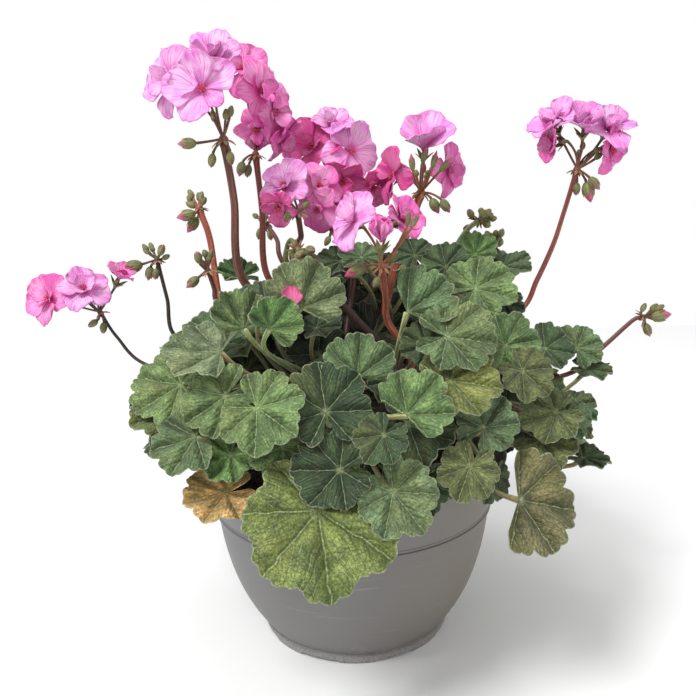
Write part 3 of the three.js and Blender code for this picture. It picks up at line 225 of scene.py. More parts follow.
# Flower stalks: radius, pixels of the umbel's hub, its depth behind the pot's axis, the pixels that the
# stalk passes and its colour. Florets: centre, lean, petal length, colour, how far ahead, and where they are
# not 8, 0 and 1, the degrees by which the petals rise, those by which they are turned, and the share of its
# length that the lowest petal has. Buds: root, tip.
UMBELS = {
    "a": (2.6, (224, 143), -45, [(234, 200), (243, 280)], "brown", [
        ((203, 90), (-12, 15), 27, "lilac", 0, 8, 54, 0.6), ((171, 82), (-50, 10), 25, "lilac", 0),
        ((213, 61), (5, 48), 22, "lilac", 0, 30),
    ], [((197, 143), (177, 144)), ((213, 153), (211, 168)), ((230, 151), (231, 166))]),
    "b": (2.2, (256, 158), 10, [(262, 210), (268, 277)], "russet", [
        ((243, 70), (-5, 30), 23, "pink", 0), ((260, 92), (35, 20), 24, "pink", 0),
        ((272, 113), (55, 5), 22, "pink", 0), ((281, 138), (60, -25), 20, "pink", 0),
    ], [((243, 161), (239, 177)), ((249, 164), (247, 178))]),
    "c": (2.0, (298, 215), -30, [(301, 235), (304, 262)], "brown", [
        ((286, 187), (-30, 30), 21, "lilac", 0),
    ], [((290, 208), (285, 224)), ((303, 209), (309, 200))]),
    "d": (2.0, (335, 197), 35, [(342, 225), (350, 255)], "brown", [
        ((313, 147), (-30, 25), 25, "rose", 0), ((350, 152), (35, 12), 26, "lilac", 0),
        ((343, 179), (10, -35), 19, "rose", 20),
    ], [((330, 200), (322, 208)), ((338, 202), (341, 212))]),
    "q": (1.8, (334, 232), -10, [(345, 246), (355, 262)], "russet", [
        ((320, 208), (-30, -20), 20, "pink", 15),
    ], [((338, 227), (345, 219)), ((330, 236), (325, 246))]),
    "e": (2.2, (382, 269), -75, [(386, 300), (388, 322), (412, 365)], "terracotta", [
        ((354, 222), (-52, 24), 22, "lilac", 0, 4, 20), ((399, 220), (48, 30), 18, "pink", 0, 26),
        ((381, 242), (5, 72), 17, "pink", 12, 77),
    ], [((366, 266), (344, 277)), ((379, 277), (373, 288)), ((389, 263), (398, 251))]),
    "f": (2.9, (420, 196), 10, [(409, 228), (394, 270), (381, 343)], "terracotta", [
        ((424, 151), (5, 62), 30, "lilac", 0, 52), ((447, 170), (60, -5), 22, "pink", 0),
        ((394, 176), (-55, 0), 23, "rose", 0),
    ], [
        ((431, 198), (439, 214)), ((441, 199), (450, 213)), ((417, 206), (414, 222)),
        ((409, 202), (402, 214)),
    ]),
    "g": (2.0, (477, 222), 50, [(468, 229), (457, 246), (451, 270)], "pale", [], [
        ((473, 218), (468, 209)), ((480, 218), (486, 210)), ((483, 224), (491, 226)),
        ((471, 226), (463, 230)),
    ]),
    "h": (1.6, (494, 250), 60, [(492, 262), (488, 280)], "pale", [], [
        ((490, 247), (484, 240)), ((497, 246), (502, 238)), ((499, 252), (507, 255)),
    ]),
    "i": (2.2, (576, 173), 0, [(563, 215), (553, 245), (537, 280), (520, 311)], "russet", [
        ((555, 126), (-35, 50), 22, "lilac", 0, 20), ((583, 129), (5, 60), 21, "lilac", 0, 36),
        ((607, 130), (40, 48), 22, "lilac", 0, 20), ((609, 150), (60, -10), 19, "pink", 0),
        ((556, 142), (-60, 0), 17, "pink", 0, 30),
    ], [((586, 181), (591, 203)), ((589, 177), (600, 190)), ((577, 182), (576, 196))]),
    "j": (1.6, (641, 318), -8, [(632, 321), (597, 352), (565, 375)], "brown", [], [
        ((650, 317), (672, 314)), ((645, 323), (650, 337)), ((641, 312), (646, 303)),
    ]),
    "k": (1.7, (102, 315), 12, [(117, 337), (145, 364)], "black", [
        ((51, 299), (-45, 12), 22, "pink", 0), ((84, 291), (-5, 38), 22, "lilac", 0),
        ((119, 279), (35, 50), 15, "pink", 0, 48),
    ], [((98, 320), (88, 327)), ((104, 322), (103, 334))]),
    "l": (1.7, (158, 263), 15, [(167, 298), (178, 338)], "black", [], [
        ((159, 256), (164, 244)), ((143, 264), (121, 270)), ((151, 266), (148, 281)),
        ((157, 268), (155, 280)), ((162, 259), (170, 255)),
    ]),
    "m": (2.5, (200, 211), 35, [(210, 240), (220, 301), (235, 332), (251, 369)], "terracotta", [], [
        ((197, 207), (185, 202)), ((196, 213), (176, 218)), ((198, 217), (187, 233)),
        ((202, 205), (206, 197)),
    ]),
    "n": (1.7, (209, 273), -5, [(214, 288), (221, 308)], "brown", [], [
        ((200, 264), (196, 251)), ((199, 277), (186, 288)), ((204, 268), (203, 260)),
    ]),
    "o": (1.8, (267, 225), 70, [(277, 240), (284, 264)], "brown", [], [
        ((262, 227), (258, 240)), ((270, 228), (271, 241)), ((266, 220), (262, 212)),
    ]),
    "p": (1.6, (296, 247), -42, [(291, 240), (287, 248), (288, 264)], "green", [], [
        ((295, 248), (292, 263)), ((300, 249), (307, 260)), ((298, 251), (300, 265)),
    ]),
}

# Small florets between the others of an umbel, only in the scene, in rows like those above.
MORE_FLORETS = {
    "b": [((256, 128), (0, -30), 17, "pink", -6)],
    "c": [((279, 206), (-20, -35), 15, "rose", 0)],
    "d": [((372, 186), (20, -30), 18, "rose", 4), ((332, 127), (0, 50), 18, "lilac", 0, 28)],
    "q": [((319, 187), (15, 5), 18, "pink", 2)],
}

# Long slim buds in front of the petals: root, tip.
SLIM_BUDS = {
    "f": [
        ((413, 172), (411, 153)), ((422, 164), (427, 145)), ((432, 169), (437, 150)),
        ((439, 172), (453, 157)),
    ],
    "e": [((407, 226), (410, 211)), ((411, 228), (419, 214))],
}

# Umbels without the little buds that others have at their back.
BARE_UMBELS = ("b", "c", "e", "q")

# Young umbels, whose buds are short and thick and stand all round.
YOUNG_HEADS = ("g", "h", "p")

# A bud's width as a share of its length, and the little buds that are added where the photograph's are few.
BUD_WIDTH, YOUNG_BUD_WIDTH, SLIM_BUD_WIDTH = 0.58, 0.72, 0.33
SPARES_BEHIND_FLORETS, SPARES, YOUNG_SPARES = 4, 6, 10

# Stalks that are seen thinner than the solids they stand for: the share of the thickness.
SLIM_STALKS = {"i": 0.78, "k": 0.7, "l": 0.82}

# Petals that have dropped on leaves: the leaf's number, the pixel, length, turn in degrees and colour.
FALLEN_PETALS = [
    (9, (291, 300), 17, 20, (206, 50, 120)),
    (51, (354, 287), 18, 80, (226, 150, 214)),
    (52, (348, 321), 11, 160, (168, 50, 88)),
]


# ---- Vectors, curves and the photograph's sight lines ---------------


def seeded_draw(seed):
    """A function that draws numbers between two limits, the same ones on every run."""
    state = seed

    def draw(low, high):
        nonlocal state
        state = (state * 1664525 + 1013904223) % 4294967296
        return low + (high - low) * (state / 4294967296)

    return draw


def unit(vector):
    return vector / np.linalg.norm(vector)


def step_out(start, *steps):
    """Places that leave a start by arrays of amounts, each along its axis."""
    for amounts, axis in steps:
        start = start + np.multiply.outer(amounts, axis)
    return start


def way_out(turn, rise):
    """The direction at a turn round the upright axis that rises by a share, from -1 to 1."""
    ring = math.sqrt(1 - rise * rise)
    return np.array((ring * math.cos(turn), ring * math.sin(turn), rise))


FORWARD = unit(TARGET - EYE)
LEVEL = unit(np.cross(FORWARD, (0, 0, 1)))
RIGHT = LEVEL * math.cos(-ROLL) + np.cross(FORWARD, LEVEL) * math.sin(-ROLL)
UP = np.cross(RIGHT, FORWARD)


def sight_line(pixel):
    """The direction from the eye through a pixel."""
    across, down = pixel
    aim = RIGHT * (across - PICTURE_MIDDLE) + UP * (PICTURE_MIDDLE - down)
    return unit(FORWARD + aim / FOCAL)


def at_depth(pixel, depth):
    """The place seen at a pixel that lies a depth behind the pot's axis."""
    sight = sight_line(pixel)
    return EYE + sight * ((depth - EYE[1]) / sight[1])


def on_dome(pixel, lift):
    """The near side of the leaf dome on a sight line, or the nearest place where the line misses it."""
    sight = sight_line(pixel)
    step = sight / DOME_RADII
    a, b, c = step @ step, EYE_IN_DOME @ step, EYE_IN_DOME @ EYE_IN_DOME - 1
    return EYE + sight * ((-b - math.sqrt(max(0, b * b - a * c))) / a - lift)


def on_plane(sight, place, normal):
    """Where a sight line meets the plane through a place."""
    return EYE + sight * ((place - EYE) @ normal / (sight @ normal))


def facing(pixel, lean):
    """The direction of a face seen at a pixel that leans to the right and up from the viewer."""
    toward = -sight_line(pixel)
    across = unit(np.cross(UP, toward))
    upward = np.cross(toward, across)
    right, up = (math.radians(angle) for angle in lean)
    level = toward * math.cos(right) + across * math.sin(right)
    return level * math.cos(up) + upward * math.sin(up)


def bezier(*controls):
    """A Bezier curve, as a function from shares of its run to places."""
    degree = len(controls) - 1

    def at(shares):
        t = np.asarray(shares, float)[..., None]
        weights = (math.comb(degree, k) * t**k * (1 - t) ** (degree - k) for k in range(degree + 1))
        return sum(weight * place for weight, place in zip(weights, controls))

    return at


def curve_through(places):
    """A smooth curve through places, evenly timed between them."""
    places = np.array(places)
    padded = np.vstack([2 * places[0] - places[1], places, 2 * places[-1] - places[-2]])

    def at(shares):
        run = np.asarray(shares, float) * (len(places) - 1)
        k = np.minimum(run.astype(int), len(places) - 2)
        t = (run - k)[..., None]
        before, start, end, after = (padded[k + step] for step in range(4))
        leaving, arriving = 0.5 * (end - before), 0.5 * (after - start)
        square = 3 * (end - start) - 2 * leaving - arriving
        return start + leaving * t + square * t**2 + (2 * (start - end) + leaving + arriving) * t**3

    return at


def along_steps(curve, steps, parts):
    """Places along the straight steps between a curve's even stations."""
    ends = curve(np.linspace(0, 1, steps + 1))
    shares = np.arange(1, parts + 1)[:, None] / parts
    return np.vstack([ends[:1]] + [ends[k] + (ends[k + 1] - ends[k]) * shares for k in range(steps)])


# ---- Where the leaves settle ----------------------------------------


def leaf_oval(angle):
    """The even oval that a leaf's outline waves round, as a share of its size."""
    return 0.84 + 0.16 * np.cos(angle)


def leaf_rim(angle):
    """The plain outline of a zonal leaf, as a share of its size."""
    return leaf_oval(angle) * (0.935 + 0.065 * np.cos(2 * np.pi * angle / LOBE))


class Leaf:
    """One leaf: its hub, axes and size in millimetres, how its blade is bent, and how it looks.

    Of two leaves the one with more lift settles in front. A leaf with a push, the way to the viewer, moves
    along it. Youth is 0 for a grown leaf, and more where the blade is cupped and deeply pleated.
    """

    def __init__(self, hub, normal, midrib, size, draw, look, lift=0.0, sinus=SINUS, push=None):
        self.hub, self.normal, self.midrib, self.size = hub, normal, midrib, size
        self.cup, self.fold = draw(-0.02, 0.14), draw(-0.05, 0.12)
        self.wave, self.phase = draw(0.02, 0.06), draw(0, 2 * math.pi)
        self.look, self.lift, self.sinus, self.push = look, lift, sinus, push
        self.youth = 1 if look in ("fresh", "moss") else 0
        self.teeth = 4 if size > FOUR_TOOTHED_LEAF else 3
        self.seen_from = None if push is None else np.linalg.norm(hub - EYE)
        self.square_up()

    def square_up(self):
        self.normal = unit(self.normal)
        self.midrib = unit(self.midrib - self.normal * (self.midrib @ self.normal))
        self.side = np.cross(self.normal, self.midrib)

    @property
    def end(self):
        """The angle from the midrib to the notch between the outer lobes."""
        return math.pi - math.radians(self.sinus)

    def bend(self, angle, out, cup):
        """The rise of the blade by a cup, by its fold and by its waves."""
        bent = cup * out * out + self.fold * out * np.abs(np.sin(angle))
        return bent + self.wave * out * out * np.cos(3 * angle + self.phase)

    def rise(self, angle, out):
        return self.bend(angle, out, self.cup) - 0.035 * out * np.cos(2 * np.pi * angle / LOBE)

    def place(self, angle, out, rise):
        """Places on the blade from arrays of angles, ways out from the hub and rises."""
        along, across = self.size * out * np.cos(angle), self.size * out * np.sin(angle)
        steps = (along, self.midrib), (across, self.side), (self.size * rise, self.normal)
        return self.hub + step_out(0, *steps)

    def place_spots(self):
        out = SPOT_SHARES * leaf_rim(SPOT_ANGLES)
        self.spots = self.place(SPOT_ANGLES, out, self.rise(SPOT_ANGLES, out))

    def crossed_by(self, sights):
        """Where sights from the eye cross the blade's plane: how far along them, and along and across it."""
        share = ((self.hub - EYE) @ self.normal) / (sights @ self.normal)
        arms = EYE + sights * share[:, None] - self.hub
        return share, arms @ self.midrib, arms @ self.side


# The spots of a blade, to measure by: its hub, and places on its edge and halfway out.
SPOT_ANGLES = np.array([0.0] + [math.pi * (k - 6.5) / 7.5 for k in range(14) for _ in range(2)])
SPOT_SHARES = np.array([0.0] + [1.0, 0.55] * 14)


def seen_leaf(row, draw):
    hub_pixel, tip_pixel, lean, lift, look, *sinus = row
    hub, normal = on_dome(hub_pixel, lift), facing(hub_pixel, lean)
    midrib = on_plane(sight_line(tip_pixel), hub, normal) - hub
    size = min(max(np.linalg.norm(midrib), SMALLEST_LEAF), LARGEST_LEAF)
    push = -sight_line(hub_pixel)
    return Leaf(hub, normal, midrib, size, draw, look, lift, sinus[0] if sinus else SINUS, push)


def back_leaf(index, draw):
    """A leaf of the far side, by its number: they are spread evenly over the dome by the golden angle."""
    rise = -0.02 + 0.99 * (index + 0.5) / BACK_LEAF_COUNT
    outward = way_out(index * math.pi * (3 - math.sqrt(5)), rise)
    radii = DOME_RADII.copy()
    if outward[1] > 0:
        radii[1] = DOME_FAR_RADIUS
    layer = draw(0.82, 0.96) * (0.84 if rise > 0.6 else 1)
    hub = outward * radii * layer + DOME_MIDDLE
    normal = unit(outward / radii) * 0.75 + (draw(-0.25, 0.25), draw(-0.25, 0.25), 0.5)
    midrib = np.array((outward[0] + draw(-0.7, 0.7), outward[1] + draw(-0.7, 0.7), -0.7))
    look = ("sage", "deep", "olive", "sage", "deep", "light", "sage", "grey")[index % 8]
    return Leaf(hub, normal, midrib, draw(31, 40), draw, look)


def is_unseen(leaf):
    """Whether a leaf of the far side stands where the photograph doesn't show it."""
    outward = unit(leaf.hub - DOME_MIDDLE)
    on_top = outward[2] > 0.6 and leaf.hub[1] > -40
    return on_top or outward @ unit(EYE - leaf.hub) < -0.1


def heights_over(upper, lower):
    """The least and greatest height of one blade's spots above another blade, where they are over it."""
    arms = upper.spots - lower.hub
    along, across = arms @ lower.midrib, arms @ lower.side
    angle, out = np.arctan2(across, along), np.hypot(along, across) / lower.size
    clear = np.abs(angle) > math.pi - math.radians(lower.sinus - INTO_NOTCH)
    over = (out <= leaf_rim(angle) + PAST_EDGE) & ~clear
    heights = (arms @ lower.normal - lower.size * lower.rise(angle, out))[over]
    return (heights.min(), heights.max()) if heights.size else (math.inf, -math.inf)


def ease_apart(a, b):
    """Moves two leaves apart where one blade is too near the other."""
    if np.linalg.norm(a.hub - b.hub) > 1.15 * (a.size + b.size):
        return
    mean = unit(a.normal + b.normal)
    side = 1 if (a.hub - b.hub) @ mean + LIFT_WEIGHT * (a.lift - b.lift) > 0 else -1
    a_low, a_high = heights_over(a, b)
    b_low, b_high = heights_over(b, a)
    short_a = SETTLING_GAP - (a_low if side > 0 else -a_high)
    short_b = SETTLING_GAP - (-b_high if side > 0 else b_low)
    short = min(SETTLING_STRIDE, max(short_a, short_b))
    if not short > 0:
        return
    for leaf, way in ((a, side), (b, -side)):
        axis = leaf.push if leaf.push is not None and leaf.push @ mean > 0.4 else mean
        leaf.hub = leaf.hub + axis * (SETTLING_SHARE * way * short)
        leaf.normal = leaf.normal + (mean - leaf.normal) * SETTLING_TURN
        leaf.square_up()
        leaf.place_spots()


def keep_off_pot(leaf):
    """Moves a leaf out or up where it would cut into the pot."""
    sunk = RIM_HEIGHT + POT_CLEAR - leaf.spots[:, 2]
    inside = RIM_RADIUS + POT_CLEAR - np.hypot(leaf.spots[:, 0], leaf.spots[:, 1])
    for place, down, within in zip(leaf.spots, sunk, inside):
        if down <= 0 or within <= 0:
            continue
        if within < down:
            leaf.hub = leaf.hub + unit(np.array((place[0], place[1], 0))) * (0.4 * within)
        else:
            leaf.hub = leaf.hub + (0, 0, 0.4 * down)
    leaf.place_spots()


def settled_leaves(draw):
    leaves = [seen_leaf(row, draw) for row in SEEN_LEAVES]
    leaves += [leaf for leaf in (back_leaf(k, draw) for k in range(BACK_LEAF_COUNT)) if is_unseen(leaf)]
    for leaf in leaves:
        leaf.place_spots()
    for _ in range(SETTLING_PASSES):
        for i, leaf in enumerate(leaves):
            for other in leaves[i + 1:]:
                ease_apart(leaf, other)
        for leaf in leaves:
            keep_off_pot(leaf)
    for leaf in leaves:
        if leaf.seen_from:
            leaf.size *= np.linalg.norm(leaf.hub - EYE) / leaf.seen_from
    return leaves


# ---- The routes of petioles and flower stalks -----------------------


class Route:
    """A stem, petiole or stalk: its curve, places along it, its radius and the shoot it belongs to."""

    def __init__(self, curve, points, radius, home=None, is_stem=False, leaf=None, effort=0.0, joins=None):
        self.curve, self.points, self.radius, self.home = curve, points, radius, home
        self.is_stem, self.leaf, self.effort, self.joins = is_stem, leaf, effort, joins


class Thicket:
    """The leaves and the routes taken so far, which each new route keeps clear of."""

    def __init__(self, leaves, stems):
        self.routes = list(stems)
        for name in ("hub", "normal", "midrib", "side", "size", "home"):
            setattr(self, f"{name}s", np.array([getattr(leaf, name) for leaf in leaves]))
        self.gather()

    def gather(self):
        """Puts the routes' places in one table, to be measured all at once."""
        self.places = np.vstack([route.points for route in self.routes])
        counts = [len(route.points) for route in self.routes]
        self.starts = np.concatenate([[0], np.cumsum(counts)[:-1]])
        self.owner = np.repeat(np.arange(len(counts)), counts)

    def pierced(self, route):
        """The cost of the blades that a route runs through."""
        heights = route.points @ self.normals.T - np.sum(self.hubs * self.normals, axis=1)
        before, after = heights[:-1], heights[1:]
        step, leaf = np.nonzero(before * after <= 0)
        share = before[step, leaf] / (before[step, leaf] - after[step, leaf])
        start, end = route.points[step], route.points[step + 1]
        arm = start + (end - start) * share[:, None] - self.hubs[leaf]
        along = np.sum(arm * self.midribs[leaf], axis=1) - 0.12 * self.sizes[leaf]
        across = np.sum(arm * self.sides[leaf], axis=1)
        hit = along**2 + across**2 < self.sizes[leaf] ** 2
        if route.leaf is not None:
            hit &= leaf != route.leaf
        own = self.homes[leaf[hit]] == route.home if route.home is not None else np.zeros(hit.sum(), bool)
        return PIERCED_OWN * own.sum() + PIERCED * (~own).sum()

    def trouble(self, route):
        """The cost of what a route pierces, touches or brushes."""
        points = route.points[1:]
        ring = np.hypot(points[:, 0], points[:, 1])
        at_rim = np.abs(ring - RIM_RADIUS) < RIM_CLEAR_BESIDE
        at_rim = at_rim & (points[:, 2] < RIM_HEIGHT + RIM_CLEAR_ABOVE)
        kin = np.array([route.home is not None and other.home == route.home for other in self.routes])
        is_stem = np.array([other.is_stem for other in self.routes])
        joined = np.array([other is route.joins for other in self.routes])
        gaps = np.array([other.radius for other in self.routes]) + route.radius + np.where(kin, 0, ROUTE_GAP)
        gaps[joined | (kin & is_stem)] = 0
        apart = points[:, None] - self.places
        near = np.einsum("ijk,ijk->ij", apart, apart) < gaps[self.owner] ** 2
        near = np.logical_or.reduceat(near, self.starts, axis=1)
        late = np.arange(1, len(route.points)) > ROOT_SHARE * len(route.points)
        brushed = (near & kin)[~late].sum()
        touched = (near & ~kin).sum()
        return self.pierced(route) + AT_RIM * at_rim.sum() + BRUSHED * brushed + TOUCHED * touched

    def pick(self, candidates):
        """The first of the candidates with the least trouble."""
        best = min(candidates, key=lambda route: route.effort + self.trouble(route))
        self.routes.append(best)
        self.gather()
        return best.curve


def make_stems():
    """The shoots' woody stems: a ring of them, and one in the middle."""
    stems = []
    for k in range(STEM_COUNT):
        middle = k == STEM_COUNT - 1
        turn = 2 * math.pi * (k + 0.3) / (STEM_COUNT - 1)
        outward = np.array((math.cos(turn), math.sin(turn), 0)) * (0 if middle else 1)
        top = MIDDLE_STEM_TOP if middle else STEM_TOP
        foot = SOIL_CROWN - SOIL_HOLE_DEPTH
        rings = (STEM_FOOT_RING, STEM_FOOT_RING + 2, STEM_TOP_RING)
        curve = bezier(*(outward * ring + (0, 0, z) for ring, z in zip(rings, (foot, (foot + top) / 2, top))))
        stems.append(Route(curve, along_steps(curve, STEM_STEPS, 6), STEM_RADIUS, home=k, is_stem=True))
    return stems


def petiole_curve(stem, leaf, share, swing):
    """A petiole from its leaf to a share of the stem's height, which swings to the side on its way."""
    root = stem.curve(share)
    reach = np.linalg.norm(root - leaf.hub)
    sideways = leaf.side * (swing * reach)
    leave = root + (leaf.hub - root) * 0.3 + sideways + (0, 0, 0.3 * reach)
    arrive = leaf.hub - leaf.normal * (0.32 * reach) - leaf.midrib * (0.18 * reach) + sideways * 0.5
    if math.hypot(arrive[0], arrive[1]) < RIM_RADIUS + PETIOLE_CLEAR_BESIDE:
        arrive[2] = max(arrive[2], RIM_HEIGHT + PETIOLE_CLEAR_ABOVE)
    return bezier(leaf.hub, arrive, leave, root)


def grow_petiole(leaf, index, stems, thicket):
    lower = ROUTE_SPREAD * (((index or 0) * 0.618) % 1)
    candidates = []
    for share in (0.95, 0.8, 0.65, 0.5, 0.35):
        for swing in (0, 0.15, -0.15, 0.3, -0.3, 0.45, -0.45):
            curve = petiole_curve(stems[leaf.home], leaf, share - lower, swing)
            points = along_steps(curve, PETIOLE_STEPS, 9)
            effort = abs(swing) + (1 - share)
            candidates.append(Route(curve, points, PETIOLE_RADIUS, home=leaf.home, leaf=index, effort=effort))
    return thicket.pick(candidates)


def grow_stalk(umbel, stems, thicket):
    """A flower stalk runs from its umbel past the places where it is seen, and down to a shoot's stem."""
    passed = [at_depth(pixel, umbel.depth * (1 - 0.12 * (k + 1))) for k, pixel in enumerate(umbel.via)]
    candidates = []
    for stem in stems:
        for share in (0.95, 0.87, 0.79, 0.71, 0.63, 0.55, 0.47):
            root = stem.curve(share)
            effort = 0.4 * np.linalg.norm(root - passed[-1])
            for lean in (0.45, 0.2, 0.7):
                bend = root + (passed[-1] - root) * lean
                bend[2] = min(bend[2], passed[-1][2] - 10)
                curve = curve_through([umbel.place, *passed, bend, root])
                points = along_steps(curve, STALK_STEPS + len(umbel.via), 9)
                candidates.append(Route(curve, points, umbel.thick, effort=effort, joins=stem))
    return thicket.pick(candidates)


# ---- Umbels ---------------------------------------------------------


class Floret:
    """One floret: its centre, axes and mouth in millimetres, its petals' length, turn and colour."""

    def __init__(self, row, depth, draw):
        pixel, lean, self.petal, self.look, ahead, *more = row
        self.cup, spin, self.lowest = (*more, *(8, 0, 1)[len(more):])
        self.centre = at_depth(pixel, depth + draw(-9, 9) - ahead)
        self.face = unit(facing(pixel, lean))
        self.across = unit(np.cross(UP, self.face))
        self.upward = np.cross(self.face, self.across)
        self.mouth = self.centre - self.face * (0.4 + SEAT)
        self.turn = draw(-14, 14) + spin
        self.inner = 0 if self.petal > LARGE_PETAL else INNER_PETALS

    def outward(self, degrees):
        """The way out from the centre at an angle round the face."""
        angle = math.radians(degrees)
        return self.across * math.cos(angle) + self.upward * math.sin(angle)


class Umbel:
    """A flower stalk with its hub, florets and buds, in millimetres."""

    def __init__(self, name, row):
        self.name = name
        self.thick, pixel, self.depth, self.via, self.look, self.floret_rows, self.bud_rows = row
        self.place = at_depth(pixel, self.depth)
        self.last_seen = len(self.via) / (len(self.via) + 2)

    def flower(self, curve, draw):
        """Takes the stalk's curve, and places the florets and buds at its end."""
        self.curve = curve
        self.rise = -unit(curve(1e-4) - curve(0.0))
        self.florets = [Floret(row, self.depth, draw) for row in self.floret_rows]
        own_draw = seeded_draw(FLORET_SEED)
        self.florets += [Floret(row, self.depth, own_draw) for row in MORE_FLORETS.get(self.name, ())]
        self.buds = []
        for root, tip in self.bud_rows:
            depth = self.depth + draw(-7, 7)
            self.buds.append((at_depth(root, depth), at_depth(tip, depth + draw(-2, 2))))


class Plant:
    """Every leaf, stem and umbel in its place."""

    def __init__(self):
        draw = seeded_draw(PLANT_SEED)
        self.leaves, self.inner_leaves = settled_leaves(draw), []
        self.stems = make_stems()
        self.ends = np.array([stem.curve(1.0) for stem in self.stems])
        for leaf in self.leaves:
            self.give_home(leaf)
        self.thicket = Thicket(self.leaves, self.stems)
        self.umbels = [Umbel(name, row) for name, row in UMBELS.items()]
        for umbel in self.umbels:
            umbel.flower(grow_stalk(umbel, self.stems, self.thicket), draw)
        for index, leaf in enumerate(self.leaves):
            leaf.petiole = grow_petiole(leaf, index, self.stems, self.thicket)
        for index, (sinus, turn, youth) in FUNNELS.items():
            leaf, turn = self.leaves[index], math.radians(turn)
            leaf.sinus, leaf.youth = sinus, youth
            leaf.midrib = leaf.midrib * math.cos(turn) + leaf.side * math.sin(turn)
            leaf.square_up()
        seen = [umbel for umbel in self.umbels if umbel.look == "terracotta"]
        self.shown = np.vstack([umbel.curve(np.linspace(0, 1, 12) * umbel.last_seen) for umbel in seen])
        self.fill_inside()
        self.stop_gaps()
        self.fill_sides()

    def give_home(self, leaf):
        """Gives a leaf to the shoot whose stem ends nearest to it."""
        leaf.home = int(np.argmin(np.linalg.norm(self.ends - leaf.hub, axis=1)))

    def fill_inside(self):
        """Small leaves in the shade under the dome, wherever no stem, stalk or blade is in their way,
        coloured darker the deeper they lie as painted shade.
        """
        draw = seeded_draw(INNER_SEED)
        for _ in range(INNER_TRIES):
            outward = way_out(draw(0, 2 * math.pi), draw(-0.1, 0.92))
            layer = draw(0.45, 0.9)
            hub = outward * DOME_RADII * layer + DOME_MIDDLE
            normal = outward * 0.8 + (draw(-0.4, 0.4), draw(-0.4, 0.4), draw(0.2, 0.6))
            midrib = outward + (draw(-0.7, 0.7), draw(-0.7, 0.7), -0.6)
            # Painted shade: the deeper a leaf lies, the darker its colour.
            look = "shade" if layer < 0.72 else "dark"
            self.add_inside(Leaf(hub, normal, midrib, draw(18, 31), draw, look), INNER_CLEAR)

    def stop_gaps(self):
        """More leaves in the shade, coloured near-black green as painted shade, wherever the viewer would see
        right through the plant.
        """
        draw = seeded_draw(GAP_SEED)
        for down in range(*GAP_DOWN, GAP_STEP):
            for across in range(*GAP_ACROSS, GAP_STEP):
                sight = sight_line((across, down))
                if not self.sees_through(sight):
                    continue
                for _ in range(GAP_TRIES):
                    normal = unit(-sight + (draw(-0.5, 0.5), draw(-0.3, 0.3), draw(0, 0.7)))
                    midrib = np.array((draw(-1, 1), -0.3, draw(-1, 0.3)))
                    place = at_depth((across, down), draw(-30, 150))
                    # A near-black leaf as painted shade, to close the gap.
                    leaf = Leaf(place, normal, midrib, draw(11, 26), draw, "shade")
                    leaf.hub = place - leaf.midrib * (0.3 * leaf.size)
                    if self.add_inside(leaf, FILLING_CLEAR):
                        break

    def fill_sides(self):
        """Small leaves over the petioles on both sides, where the photograph's leaves hide them."""
        draw = seeded_draw(SIDE_SEED)
        for index in range(SIDE_TRIES):
            mirror = (-1) ** index
            outward = way_out(math.radians(draw(-85, 15)), draw(-0.15, 0.8)) * (mirror, 1, 1)
            hub = outward * DOME_RADII * draw(0.66, 0.98) + DOME_MIDDLE
            normal = outward + (0.4 * mirror, draw(-0.2, 0.4), draw(0, 0.5))
            midrib = outward + (draw(-0.7, 0.7), draw(-0.7, 0.7), -0.8)
            leaf = Leaf(hub, normal, midrib, draw(14, 27), draw, ("deep", "sage", "dark")[index % 3])
            leaf.place_spots()
            if self.is_covered(leaf):
                self.add_inside(leaf, FILLING_CLEAR)

    def add_inside(self, leaf, clear):
        """Takes an inner leaf in if there is room for it, and says whether there was."""
        leaf.place_spots()
        if self.hides_stalk(leaf) or not self.has_room(leaf, clear):
            return False
        self.give_home(leaf)
        leaf.petiole = grow_petiole(leaf, None, self.stems, self.thicket)
        self.inner_leaves.append(leaf)
        return True

    def is_covered(self, leaf):
        """Whether the photograph's leaves hide nearly all of a leaf from the viewer."""
        hidden, sights = np.zeros(len(leaf.spots), bool), leaf.spots - EYE
        for front in self.leaves[:len(SEEN_LEAVES)]:
            share, along, across = front.crossed_by(sights)
            within = np.hypot(along, across) < front.size * leaf_rim(np.arctan2(across, along))
            hidden |= (share > 0) & (share < 1) & within
        return hidden.mean() > COVERED_SHARE

    def hides_stalk(self, leaf):
        """Whether a leaf is in front of a flower stalk that the photograph shows against the dark."""
        share, along, across = leaf.crossed_by(self.shown - EYE)
        return ((share > 0) & (share < 1) & (np.hypot(along, across) < leaf.size + 2)).any()

    def sees_through(self, sight):
        """Whether a sight line runs deep through the dome of leaves and meets none, nor the pot."""
        step = sight / DOME_RADII
        deep = (EYE_IN_DOME @ step) ** 2 > (step @ step) * (EYE_IN_DOME @ EYE_IN_DOME - THICK_DOME)
        at_rim = EYE + sight * ((RIM_HEIGHT - EYE[2]) / sight[2]) if sight[2] < 0 else DOME_MIDDLE * 100
        if not deep or math.hypot(at_rim[0], at_rim[1]) < RIM_RADIUS:
            return False
        for leaf in self.leaves + self.inner_leaves:
            arm = on_plane(sight, leaf.hub, leaf.normal) - leaf.hub
            along, across = arm @ leaf.midrib, arm @ leaf.side
            angle = math.atan2(across, along)
            if math.hypot(along, across) < THICK_LEAF * leaf.size * leaf_rim(angle) and abs(angle) < leaf.end:
                return False
        return True

